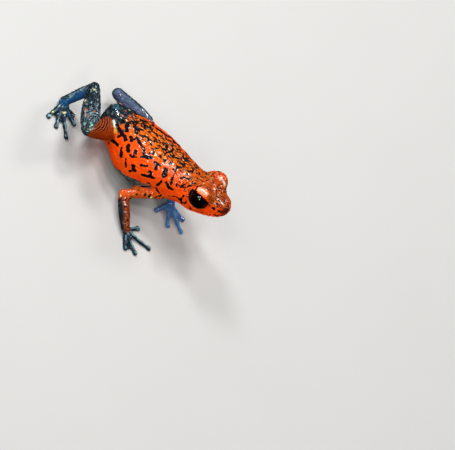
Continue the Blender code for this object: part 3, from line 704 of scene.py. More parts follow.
# dabs of other colours, in the same way; a later one lies over an earlier one; the white glint dabs are
# painted highlights
dabs = [
    # edges of the shank
    ("creamAndGlint", 0.11, ((85.2, 86.0),)),
    ("creamAndGlint", 0.1, ((99.8, 87.4),)),
    ("creamAndGlint", 0.08, ((101.0, 98.6),)),
    ("creamAndGlint", 0.1, ((94.0, 89.8), (95.2, 89.6))),
    ("creamAndGlint", 0.1, ((85.4, 100.2), (85.4, 101.4))),
    ("rust", 0.14, ((93.9, 80.7),)),
    # below the knee
    ("paleCyanAndGlint", 0.16, ((84.6, 122.8), (84.8, 124.0))),
    ("paleCyanAndGlint", 0.16, ((87.6, 130.6), (91.0, 129.9), (95.0, 128.4))),
    ("paleCyanAndGlint", 0.14, ((91.0, 122.0), (92.5, 125.0), (90.5, 126.5))),
    ("pink", 0.12, ((88.4, 130.0), (94.2, 127.9))),
    # side of the shank
    ("rust", 0.14, ((85.6, 108.6), (86.3, 110.0))),
    ("rust", 0.12, ((85.1, 112.8), (84.9, 115.4))),
    ("rust", 0.13, ((88.2, 115.1), (87.2, 116.4))),
    ("rust", 0.12, ((93.2, 111.8), (95.4, 111.4))),
    # rump
    ("creamAndGlint", 0.12, ((116.5, 101.2),)),
    ("pink", 0.12, ((119.8, 103.2), (121.5, 104.6))),
    ("paleCyanAndGlint", 0.13, ((113.4, 102.0), (113.0, 104.5))),
    ("grey", 0.12, ((107.3, 112.4),)),
    ("grey", 0.12, ((111.9, 114.2),)),
    ("creamAndGlint", 0.13, ((126.6, 122.6), (127.0, 123.4))),
    ("creamAndGlint", 0.12, ((129.6, 109.8),)),
    # tarsus: a pale painted highlight streak along it, and the blue side running down to the toes
    ("paintedSheen", 0.15, ((65.8, 100.4), (70.0, 96.6), (76.0, 92.4), (83.0, 88.9), (88.0, 87.3))),
    ("blue", 0.2, ((65.8, 100.4), (66.6, 107.0), (67.6, 112.6), (70.0, 117.0), (73.4, 121.2))),
    # rump and hip, with a painted highlight at the groin
    ("teal", 0.14, ((113.6, 102.6), (114.6, 105.2), (113.8, 107.4))),
    ("teal", 0.12, ((117.0, 104.4), (118.4, 108.0))),
    ("amber", 0.3, ((114.0, 127.0), (115.2, 132.0))),
    ("paintedGlint", 0.17, ((113.8, 120.6), (114.8, 126.0))),
    ("creamAndGlint", 0.1, ((124.8, 121.4), (125.4, 122.0))),
    ("rust", 0.1, ((109.6, 104.4), (110.2, 105.0))),
    ("creamAndGlint", 0.09, ((105.0, 108.6),)),
    ("grey", 0.1, ((118.6, 112.6), (119.0, 113.4))),
    ("teal", 0.1, ((121.0, 114.6), (122.6, 116.0))),
    ("blue", 0.14, ((116.2, 107.6), (116.8, 111.0))),
    # foot: the cyan dabs are painted highlights on the toes
    ("paleCyanAndGlint", 0.17, ((47.0, 115.7), (51.4, 115.7))),
    ("creamAndGlint", 0.13, ((52.8, 111.9),)),
    ("creamAndGlint", 0.14, ((63.6, 112.7), (65.6, 112.6))),
    ("paleCyanAndGlint", 0.15, ((57.8, 121.2), (58.6, 122.0))),
    ("paleCyanAndGlint", 0.1, ((67.0, 120.0), (67.8, 128.0), (68.0, 136.5))),
    ("paleCyanAndGlint", 0.2, ((65.6, 139.6), (66.6, 141.0))),
    ("paleCyanAndGlint", 0.13, ((72.4, 119.2), (74.2, 122.6))),
    # hand: the cyan streaks along the fingers are painted highlights
    ("paleCyanAndGlint", 0.1, ((127.4, 232.6), (131.2, 236.6), (134.4, 240.8), (134.6, 243.4))),
    ("paleCyanAndGlint", 0.09, ((130.0, 231.6), (133.4, 235.8))),
    ("paleCyanAndGlint", 0.16, ((135.6, 252.6), (136.4, 253.4))),
    ("paleCyanAndGlint", 0.1, ((137.0, 236.0), (140.6, 239.2), (147.6, 244.8), (150.6, 247.6))),
    ("paleCyanAndGlint", 0.17, ((152.0, 250.4), (152.8, 251.6))),
    ("teal", 0.16, ((137.4, 229.6), (139.4, 228.4))),
    # lids and snout: the glint, cyan and cream dabs here are painted highlights
    ("paintedGlint", 0.08, ((221.6, 178.0), (223.6, 181.6), (224.8, 184.0))),
    ("paintedGlint", 0.07, ((203.0, 189.6), (206.4, 193.4))),
    ("paintedGlint", 0.05, ((211.4, 182.6),)),
    ("paintedGlint", 0.08, ((214.3, 188.4), (214.7, 189.4))),
    ("creamAndGlint", 0.08, ((221.1, 185.9),)),
    ("paleCyanAndGlint", 0.06, ((217.6, 198.6), (218.8, 200.4))),
    ("paintedGlint", 0.05, ((221.4, 202.6), (222.4, 204.0))),
    ("paleCyanAndGlint", 0.06, ((224.0, 205.0),)),
    # shoulder, jaw and upper arm; the cream dot by the jaw is a painted highlight
    ("amber", 0.1, ((168.8, 177.4), (169.0, 178.6))),
    ("amber", 0.08, ((169.7, 185.3),)),
    ("creamAndGlint", 0.06, ((190.6, 208.2),)),
    ("creamAndGlint", 0.12, ((120.4, 195.0), (120.5, 196.2))),
    ("creamAndGlint", 0.15, ((149.4, 198.6), (151.0, 197.6))),
]
wholeDabs = ("paintedGlint", "amber", "creamAndGlint")
# where the wet film is whole and shines as one streak, with its share and half width
filmPlaces = [
    (1.0, 0.3, ((124.6, 190.0), (134.6, 190.4))),
    (1.0, 0.3, ((148.2, 189.6), (156.2, 188.4))),
    (0.8, 0.25, ((66.0, 100.0), (76.0, 92.4), (88.0, 87.3))),
    (0.9, 0.3, ((221.4, 177.6), (223.8, 184.0))),
    (0.8, 0.2, ((200.8, 188.6), (206.4, 192.4))),
    (0.6, 0.4, ((219.0, 200.4), (225.4, 205.4))),
    (0.3, 0.7, ((169.4, 163.0), (173.4, 177.0))),
    (0.35, 0.5, ((178.0, 176.0), (190.0, 177.6))),
    (0.8, 0.25, ((112.8, 122.8), (113.8, 128.0))),
    (0.7, 0.2, ((128.6, 233.6), (134.4, 242.0))),
]


class Coat:  # the skin's points, what is known of each, and the paint laid on them
    def __init__(self, skin):
        self.points = readPoints(skin)
        self.normals = readNormals(skin)
        self.zones = findZones(self.points)
        self.onTrunk = self.zones["torso"] + self.zones["head"]
        self.distance, self.across, self.height = bodyCoords(self.points)
        self.slow = waves(self.points, 2.2, 3)
        self.patch = waves(self.points, 1.1, 5)
        self.tree = treeOf(skin)
        self.flow = self.points.copy()
        self.tint = np.zeros((len(self.points), 3))
        self.paleGrainsAndGlints = np.zeros(len(self.points))
        self.speckle = np.zeros(len(self.points))
        self.fleck = np.zeros(len(self.points))

    def find(self, across, down):  # the place on the skin under a place in the picture
        start, way = photoRay(across, down)
        place = self.tree.ray_cast(Vector(start), Vector(way))[0]
        return None if place is None else np.array(place)

    def snap(self, place):
        return np.array(self.tree.find_nearest(Vector(place))[0])

    def trace(self, path):
        return [self.find(*place) for place in path]


def strokeField(points, strokes):  # distance to the nearest stroke's edge, below zero inside it
    field = np.full(len(points), 1.0)
    for half, path in strokes:
        path = [place for place in path if place is not None]
        if not path:
            continue
        low = np.min(path, axis=0) - 1.2
        high = np.max(path, axis=0) + 1.2
        near = np.nonzero(np.all((points > low) & (points < high), axis=1))[0]
        close = points[near]
        best = np.full(len(near), 1.0)
        for start, end in zip(path, path[1:] + path[-1:]):
            line = end - start
            share = np.clip(((close - start) @ line) / max(line @ line, 1e-9), 0.0, 1.0)
            best = np.minimum(best, apartFrom(close, start + share[:, None] * line) - half)
        field[near] = np.minimum(field[near], best)
    return field


def mirrored(strokes, snap, seed):  # the same marks on the far side, moved a little so that the sides differ
    dice = random.Random(seed)
    copied = []
    for half, path in strokes:
        forward = dice.uniform(-0.45, 0.45)
        upward = dice.uniform(-0.25, 0.25)
        far = []
        for place in path:
            if place is not None:
                distance, across, height = (float(value[0]) for value in bodyCoords(place[None]))
                far.append(snap(onBody(distance + forward, -across, height + upward)))
        copied.append((half * dice.uniform(0.8, 1.2), far))
    return copied


# linear colours
skinColours = {
    "flank": (0.94, 0.060, 0.001),
    "back": (0.70, 0.092, 0.003),
    "crown": (0.50, 0.060, 0.003),
    "throat": (0.80, 0.09, 0.010),
    "belly": (0.045, 0.06, 0.048),
    "rump": (0.006, 0.010, 0.016),
    "snout": (0.06, 0.010, 0.005),
    "paintedLidHighlight": (0.94, 0.38, 0.25),
    "armTop": (0.72, 0.075, 0.003),
    "armFore": (0.29, 0.034, 0.005),
    "armRear": (0.010, 0.009, 0.011),
    "thighLow": (0.36, 0.036, 0.003),
    "thighTop": (0.010, 0.012, 0.018),
    "shank": (0.004, 0.005, 0.007),
    "farShankShadedEdge": (0.008, 0.010, 0.014),
    "farLimb": (0.075, 0.095, 0.19),
    "tarsus": (0.012, 0.065, 0.20),
    "tarsusEdge": (0.004, 0.005, 0.008),
    "farHand": (0.065, 0.15, 0.43),
    "digit": (0.006, 0.011, 0.026),
    "digitPaleAndHighlight": (0.27, 0.50, 0.58),
    "paintedSheen": (0.13, 0.24, 0.38),
    "paintedGlint": (0.70, 0.80, 0.80),
    "amber": (0.92, 0.26, 0.02),
    "creamAndGlint": (0.86, 0.72, 0.36),
    "paleCyanAndGlint": (0.30, 0.56, 0.58),
    "teal": (0.06, 0.20, 0.23),
    "blue": (0.014, 0.09, 0.27),
    "grey": (0.22, 0.24, 0.26),
    "pink": (0.80, 0.42, 0.34),
    "rust": (0.62, 0.10, 0.02),
}


def over(tint, name, share):  # lays a colour over what is there
    return tint + (np.array(skinColours[name]) - tint) * share[:, None]


def between(first, second, share):  # the first colour where the share is 1, the second where it is 0
    return over(np.zeros((len(share), 3)) + skinColours[second], first, share)


trunkPaint = {
    "backHalf": 2.6,
    "speckleHalf": {"right": 1.75, "left": 2.7},
    "topFrom": 0.7,
    "crownFrom": 13.0,
    "throatFrom": 15.0,
    "rumpUntil": 2.8,
    "rearUntil": 1.8,
    "armRoot": 1.0,
    "bellyMarks": (0.0, 4.0, 6.0, 7.5, 9.0, 11.0, 12.5, 14.0, 16.0),
    "bellyHeights": (-2.0, -2.2, -1.9, -1.2, -0.8, -0.75, -1.2, -1.7, -2.4),
    "stretch": 0.62,
}


def paintTrunk(coat):
    distance, height = coat.distance, coat.height
    top = rise(height, trunkPaint["topFrom"], 0.9)
    reach = np.abs(coat.across) - 0.3 * coat.slow
    backShare = fall(reach, trunkPaint["backHalf"], 1.1) * top
    coat.crownShare = backShare * rise(distance, trunkPaint["crownFrom"], 3.0)
    throatShare = rise(-height, 0.9, 0.8) * rise(distance, trunkPaint["throatFrom"], 1.5)
    # the belly's colour ends in a ragged line, and below the root of each arm
    line = np.interp(distance, trunkPaint["bellyMarks"], trunkPaint["bellyHeights"])
    line = line + 0.2 * coat.patch + 0.16 * waves(coat.points, 0.6, 9)
    bellyShare = fall(height, line, 0.25)
    for side in ("right", "left"):
        upperArm = [jointAt(side, "shoulder"), jointAt(side, "elbow")]
        armRoot = strokeField(coat.points, [(trunkPaint["armRoot"], upperArm)])
        bellyShare = bellyShare * smoothStep(0.5 + armRoot / 0.16)
    # the rump is dark on top, and the rear end down to the thighs
    ragged = 0.7 * coat.patch + 0.4 * waves(coat.points, 0.6, 10)
    rumpTop = rise(height + 0.4 * coat.slow, 0.9, 0.8)
    rumpTop *= fall(distance, trunkPaint["rumpUntil"] + ragged, 0.35)
    rearEnd = rise(height, -1.6, 0.6)
    rearEnd *= fall(distance, trunkPaint["rearUntil"] + ragged, 0.35)
    rumpShare = np.maximum(rumpTop, rearEnd)
    trunk = between("back", "flank", backShare)
    trunk = over(trunk, "crown", coat.crownShare)
    trunk = over(trunk, "belly", bellyShare)
    trunk = over(trunk, "throat", throatShare)
    trunk = over(trunk, "rump", rumpShare)
    coat.tint += trunk * coat.onTrunk[:, None]
    coat.paleGrainsAndGlints += coat.onTrunk * np.maximum(rumpShare * 0.2, bellyShare * 0.7)
    half = trunkPaint["speckleHalf"]
    speckled = fall(reach, np.where(coat.across < 0.0, half["right"], half["left"]), 0.6) * top
    coat.speckle += coat.onTrunk * speckled * (1.0 - rumpShare) * fall(distance, 15.0, 2.5)
    coat.fleck += coat.onTrunk * top * rise(distance, 12.0, 2.5)
    # the dashes run lengthwise, so their pattern is stretched along the body
    axis = onBody(10.0, 0.0, 0.0) - onBody(9.0, 0.0, 0.0)
    coat.flow -= trunkPaint["stretch"] * ((coat.points - toMiddle) @ axis * coat.onTrunk)[:, None] * axis


# rings round the near knee, as seen in the picture: stripes on the thigh, fine arcs on the shank
kneePaint = {"centre": (93.2, 121.0), "stripesReach": 2.45, "arcsReach": 1.7, "lowReach": 3.0}


def ringKnee(coat):
    own = coat.points - coat.find(*kneePaint["centre"])
    across, upward = own @ pictureRight, own @ pictureUp
    coat.rings = np.hypot(across, upward)
    coat.onKnee = rise(0.78 * across - 0.63 * upward, 0.5, 0.3)
    reach = fall(coat.rings, kneePaint["stripesReach"], 0.4)
    coat.stripes = coat.zones["thigh_right"] * coat.onKnee * reach * rise(upward, -1.95, 0.9)
    reach = fall(coat.rings, kneePaint["arcsReach"], 0.4)
    coat.arcs = coat.zones["shank_right"] * reach * (1.0 - coat.onKnee)


# toward which side a limb has its lighter colour, and how strong the grains are
limbPaint = {
    "right": {
        "armWay": pictureRight, "armSpeckle": 0.35,
        "thighWay": -pictureUp,
        "tarsusWay": 0.45 * pictureRight - 0.89 * pictureUp,
    },
    "left": {
        "armWay": (1.0, -0.6, 0.5), "armSpeckle": 0.0,
        "thighWay": (0.3, 0.6, -0.7),
        "tarsusWay": (1.0, 0.3, 0.4),
    },
    "upperArmSpeckle": 0.13,
    "armGranite": 0.2,
    "thighGranite": 0.4,
    "farShankGranite": 0.3,
    "tarsusGranite": 0.8,
    "footGranite": 0.15,
    "stretch": 0.55,
}


def paintLimbs(coat, side):
    nearSide = side == "right"
    plan = limbPaint[side]
    # how far each point faces the camera, used for painted light and shade on the shanks
    outward = coat.normals @ towardCamera

    def share(start, end, way, half, more=0.0):  # how far a point lies to one side of a limb, 0 to 1
        root = jointAt(side, start)
        line = jointAt(side, end) - root
        line = line / np.linalg.norm(line)
        square = np.array(way) - line * np.dot(way, line)
        square /= np.linalg.norm(square)
        return smoothStep(0.5 + 0.5 * ((coat.points - root) @ square + more + 0.12 * coat.slow) / half)

    zone = coat.zones["upper_arm_" + side]
    coat.tint += np.array(skinColours["armTop"]) * zone[:, None]
    coat.speckle += zone * limbPaint["upperArmSpeckle"]

    zone = coat.zones["forearm_" + side]
    fore = share("elbow", "wrist", plan["armWay"], 0.28)
    arm = between("armFore", "armRear", fore)
    if not nearSide:  # the far forearm turns blue toward the hand
        arm = over(arm, "farHand", rise(apartFrom(coat.points, jointAt(side, "elbow")), 2.2, 0.8))
    coat.tint += arm * zone[:, None]
    coat.paleGrainsAndGlints += zone * (1.0 - fore) * limbPaint["armGranite"]
    coat.speckle += zone * fore * plan["armSpeckle"]

    zone = coat.zones["thigh_" + side]
    low = share("hip", "knee", plan["thighWay"], 0.6)
    if nearSide:
        low = low + (coat.onKnee - low) * fall(coat.rings, kneePaint["lowReach"], 0.5)
    coat.tint += between("thighLow", "thighTop", low) * zone[:, None]
    coat.paleGrainsAndGlints += zone * (1.0 - low) * limbPaint["thighGranite"]

    zone = coat.zones["shank_" + side]
    if nearSide:
        coat.tint += np.array(skinColours["shank"]) * zone[:, None]
        # more pale granules where the near shank faces the camera: painted light
        coat.paleGrainsAndGlints += zone * (0.5 + 0.5 * rise(outward, 0.25, 0.5))
    else:
        # the far shank is lighter in the middle, where it faces the camera, and dark toward its edges:
        # painted highlight and shade
        middle = rise(outward, 0.35, 0.5)
        coat.tint += between("farLimb", "farShankShadedEdge", middle) * zone[:, None]
        coat.paleGrainsAndGlints += zone * limbPaint["farShankGranite"]
    knee = jointAt(side, "knee")
    axis = jointAt(side, "heel") - knee
    axis /= np.linalg.norm(axis)
    coat.flow -= limbPaint["stretch"] * ((coat.points - knee) @ axis * zone)[:, None] * axis

    zone = coat.zones["tarsus_" + side]
    inner = share("heel", "ankle", plan["tarsusWay"], 0.25, 0.12)
    coat.tint += between("tarsus", "tarsusEdge", inner) * zone[:, None]
    coat.paleGrainsAndGlints += zone * (1.0 - inner) * limbPaint["tarsusGranite"]

    for name in ("hand_", "foot_"):
        zone = coat.zones[name + side]
        digit = "digit" if nearSide or name == "foot_" else "farHand"
        coat.tint += np.array(skinColours[digit]) * zone[:, None]
        coat.paleGrainsAndGlints += zone * limbPaint["footGranite"]


# a dark snout, finer flecks in front, and a painted highlight on each lid, by their places in the picture
headPaint = {
    "snoutTip": (226.5, 210.2),
    "fleckMiddle": (227.0, 204.5),
    "paintedLidHighlights": (
        (0.42, ((199.8, 189.0), (206.0, 193.2))),
        (0.26, ((220.6, 177.2), (224.6, 184.8))),
    ),
}


def paintHead(coat):
    apart = apartFrom(coat.points, coat.find(*headPaint["snoutTip"]))
    coat.tint = over(coat.tint, "snout", 0.95 * smoothStep((1.0 + 0.2 * coat.patch - apart) / 0.6))
    apart = apartFrom(coat.points, coat.find(*headPaint["fleckMiddle"]))
    coat.fleck = 0.6 * coat.fleck + 0.6 * fall(apart, 2.6, 1.4) * coat.onTrunk
    # the pale pink patch over each lid is a painted highlight
    lidHighlightField = strokeField(coat.points, [(half, coat.trace(path)) for half, path in headPaint["paintedLidHighlights"]])
    cap = smoothStep(0.5 - (lidHighlightField + 0.1 * coat.patch) / 0.4) * (0.8 + 0.2 * waves(coat.points, 0.45, 8))
    cap = np.clip(cap, 0.0, 1.0)
    coat.tint = over(coat.tint, "paintedLidHighlight", cap)
    coat.fleck *= (1.0 - cap) ** 4


digitPaint = {
    "padRadius": 0.36,
    "padShare": 0.75,
    "stripeHalf": 0.075,
    "stripeFrom": 0.9,
    "farHandShare": 0.4,
}


def paintDigits(coat):  # pale pads on the discs, and a pale broken stripe along every digit's top: pale skin and painted highlights
    upward = coat.normals[:, 2]
    for side, kind, root, tip, way, length in eachDigit():
        apart = apartFrom(coat.points, tip - way * digitForm["discCentre"])
        pad = digitPaint["padShare"] * fall(apart, digitPaint["padRadius"], 0.2)
        pad = pad * smoothStep(upward + 0.1) * smoothStep(0.7 + 0.6 * coat.patch)
        own = coat.points - root
        reach = own @ way
        beside = own @ np.array((-way[1], way[0], 0.0)) + 0.04 * coat.slow
        on = (reach > digitPaint["stripeFrom"]) & (reach < length) & (coat.points[:, 2] < 1.2)
        stripe = bell(beside, digitPaint["stripeHalf"]) * on * rise(upward, 0.2, 0.4)
        pale = np.maximum(pad, stripe * (0.1 + 0.6 * smoothStep(0.5 + 0.9 * coat.patch)))
        if side == "left" and kind == "fingers":
            pale = digitPaint["farHandShare"] * pale
        coat.tint = over(coat.tint, "digitPaleAndHighlight", pale)


def paintDabs(coat):
    broken = smoothStep(0.82 + 1.4 * waves(coat.points, 0.28, 17))
    for name, half, path in dabs:
        field = strokeField(coat.points, [(half, coat.trace(path))])
        dab = smoothStep(0.5 - (field + 0.03 * coat.slow) / 0.14)
        if name not in wholeDabs:
            dab = dab * broken
        coat.tint = over(coat.tint, name, dab)


# the drawn marks are widened by a factor; the dark lip line is painted shade along the mouth crease, the
# black nostrils are painted shade in their openings, and the lids have dark rims
blackPaint = {
    "widen": 1.75,
    "narrow": 0.05,
    "mouthShadeLine": 0.045,
    "nostril": 0.17,
    "lidEdge": 1.15,
    "lidCorner": 0.13,
}


def markBlack(coat):  # distance to the nearest black edge, below zero inside the black
    points = coat.points
    strokes = []
    for half, path in flankMarks + armMarks:
        strokes.append((half * blackPaint["widen"] - blackPaint["narrow"], coat.trace(path)))
    farStrokes = mirrored(strokes[:len(flankMarks)], coat.snap, 11)
    black = np.minimum(strokeField(points, strokes), strokeField(points, farStrokes))
    # painted shade: a dark line along the mouth crease
    mouth = (np.abs(coat.height - mouthLine(coat.distance)) - blackPaint["mouthShadeLine"]) * 3.0
    mouth = mouth + 0.4 * fall(coat.distance, 16.6, 0.6)
    black = np.minimum(black, np.where(coat.distance > 15.8, mouth, 1.0))
    for side in (-1.0, 1.0):
        # painted shade: the opening of each nostril filled black
        nostril = apartFrom(points, ofPair(bodyPlan["nostril"], side))
        black = np.minimum(black, (nostril - blackPaint["nostril"]) * 2.0)
        centre, aim, forward, up = eyeAxes(side)
        own = points - centre
        radius = np.linalg.norm(own, axis=1)
        spread, crosswise = acrossOpening(own, forward, up)
        edge = blackPaint["lidEdge"] - blackPaint["lidCorner"] * rise(crosswise, 0.1, 0.6)
        rim = (spread - edge) * 3.0 + 1.5 * fall(own @ aim / radius, 0.16, 0.14)
        black = np.minimum(black, np.where(radius < 2.3, rim, 1.0))
    coat.black = black
    print("black marks placed by hand:", len(strokes))


# how much of the clear wet film a part has
filmPaint = {"side": 0.04, "trunk": 0.62, "crown": 0.5, "limbs": 0.3}


def layFilm(coat):
    coat.film = np.zeros(len(coat.points))
    for amount, half, path in filmPlaces:
        field = strokeField(coat.points, [(half, coat.trace(path))])
        coat.film = np.maximum(coat.film, amount * smoothStep(0.5 - field / 0.3))
    facingUp = rise(coat.normals[:, 2], 0.4, 0.4)
    gloss = filmPaint["side"] + (1.0 - filmPaint["side"]) * facingUp
    gloss *= filmPaint["trunk"] * (1.0 - filmPaint["crown"] * coat.crownShare)
    limbs = filmPaint["limbs"] * (1.0 - np.clip(coat.onTrunk, 0.0, 1.0))
    upperArms = coat.zones["upper_arm_right"] + coat.zones["upper_arm_left"]
    coat.gloss = np.maximum.reduce((gloss, limbs, upperArms, coat.film))


def storeCoat(coat, skin):
    new = skin.data.attributes.new
    new("flow", "FLOAT_VECTOR", "POINT").data.foreach_set("vector", coat.flow.ravel())
    tint = np.concatenate((np.clip(coat.tint, 0.0, 1.0), np.ones((len(coat.points), 1))), axis=1)
    new("tint", "FLOAT_COLOR", "POINT").data.foreach_set("color", tint.ravel())
    for name in ("black", "gloss", "film", "rings", "stripes", "arcs"):
        new(name, "FLOAT", "POINT").data.foreach_set("value", getattr(coat, name).astype(np.float32))
    for name in ("paleGrainsAndGlints", "speckle", "fleck"):
        share = np.clip(getattr(coat, name), 0.0, 1.0)
        new(name, "FLOAT", "POINT").data.foreach_set("value", share.astype(np.float32))


def paintSkin(skin):
    coat = Coat(skin)
    ringKnee(coat)
    paintTrunk(coat)
    for side in ("right", "left"):
        paintLimbs(coat, side)
    paintHead(coat)
    paintDigits(coat)
    paintDabs(coat)
    markBlack(coat)
    layFilm(coat)
    storeCoat(coat, skin)
    print("skin painted")


# shader maths: a wire is one socket's value
class Wire:
    def __init__(self, paint, socket):
        self.paint = paint
        self.socket = socket

    def __add__(self, other):
        return self.paint.work("ADD", self, other)

    def __radd__(self, other):
        return self.paint.work("ADD", other, self)

    def __sub__(self, other):
        return self.paint.work("SUBTRACT", self, other)

    def __rsub__(self, other):
        return self.paint.work("SUBTRACT", other, self)

    def __mul__(self, other):
        return self.paint.work("MULTIPLY", self, other)

    def __rmul__(self, other):
        return self.paint.work("MULTIPLY", other, self)


class Paint:
    def __init__(self, name):
        self.material = bpy.data.materials.new(name)
        self.material.use_nodes = True
        self.tree = self.material.node_tree
        self.shader = self.tree.nodes["Principled BSDF"]

    def make(self, kind, settings, sockets, output=0):
        node = self.tree.nodes.new(kind)
        for key, value in settings.items():
            setattr(node, key, value)
        for key, value in sockets.items():
            self.feed(node.inputs[key], value)
        return Wire(self, node.outputs[output])

    def feed(self, socket, value):
        if isinstance(value, Wire):
            self.tree.links.new(value.socket, socket)
        else:
            socket.default_value = value

    def work(self, operation, first, second=0.0):
        return self.make("ShaderNodeMath", {"operation": operation}, {0: first, 1: second})

    def larger(self, first, second):
        return self.work("MAXIMUM", first, second)

    def step(self, value, low, high):  # 0 below low, 1 above high, smooth between
        return self.make("ShaderNodeMapRange", {"interpolation_type": "SMOOTHSTEP"},
                         {"Value": value, "From Min": low, "From Max": high})

    def mix(self, share, first, second, blend="MIX"):
        first = first if isinstance(first, Wire) else (*first, 1.0)
        second = second if isinstance(second, Wire) else (*second, 1.0)
        return self.make("ShaderNodeMix", {"data_type": "RGBA", "blend_type": blend},
                         {0: share, 6: first, 7: second}, 2)

    def field(self, name, output="Fac"):
        return self.make("ShaderNodeAttribute", {"attribute_name": name}, {}, output)

    def place(self):  # object coordinates in millimetres
        coords = self.make("ShaderNodeTexCoord", {}, {}, "Object")
        return self.make("ShaderNodeVectorMath", {"operation": "SCALE"}, {0: coords, "Scale": 1.0 / mm})

    def noise(self, place, scale, detail=2.0, distortion=0.0):
        return self.make("ShaderNodeTexNoise", {}, {
            "Vector": place, "Scale": scale, "Detail": detail, "Roughness": 0.5, "Distortion": distortion})

    def cells(self, place, scale, output="Distance"):
        return self.make("ShaderNodeTexVoronoi", {}, {"Vector": place, "Scale": scale}, output)

    def luck(self, place, scale):  # a random number for every cell
        return self.make("ShaderNodeSeparateColor", {}, {"Color": self.cells(place, scale, "Color")}, 0)

    def finish(self, height, strength, depth, **sockets):
        bump = self.make("ShaderNodeBump", {}, {
            "Height": height, "Strength": strength, "Distance": depth * mm})
        self.feed(self.shader.inputs["Normal"], bump)
        for key, value in sockets.items():
            self.feed(self.shader.inputs[key.replace("_", " ")], value)
        return self.material


# scales of the patterns, in waves or cells for a millimetre; the rings' is in radians
skinFinish = {
    "mottle": 0.9,
    "coarse": 2.4,
    "fine": 9.0,
    "granule": 3.6,
    "fineGranule": 9.0,
    "pearl": 3.7,
    "streak": 7.0,
    "dash": 3.1,
    "gap": 3.3,
    "blot": 4.6,
    "fleck": 6.0,
    "spark": 3.2,
    "rings": 19.0,
    "ragged": 0.5,
    "bump": 1.0,
    "bumpDepth": 0.15,
    "wet": 1.0,
    "wetPatch": 2.3,
    "roughness": 0.42,
    "warmer": (1.0, 2.1, 1.2),
    "pearlDark": (0.05, 0.10, 0.14),
    "pearlPale": (0.38, 0.50, 0.52),
    "stripeOrange": (0.58, 0.09, 0.006),
    "stripeBlack": (0.006, 0.006, 0.009),
    "arcGrey": (0.17, 0.27, 0.30),
    "black": (0.0035, 0.0035, 0.006),
    "shineSpeckWarm": (0.80, 0.60, 0.30),
    "shineSpeckCool": (0.45, 0.60, 0.56),
}


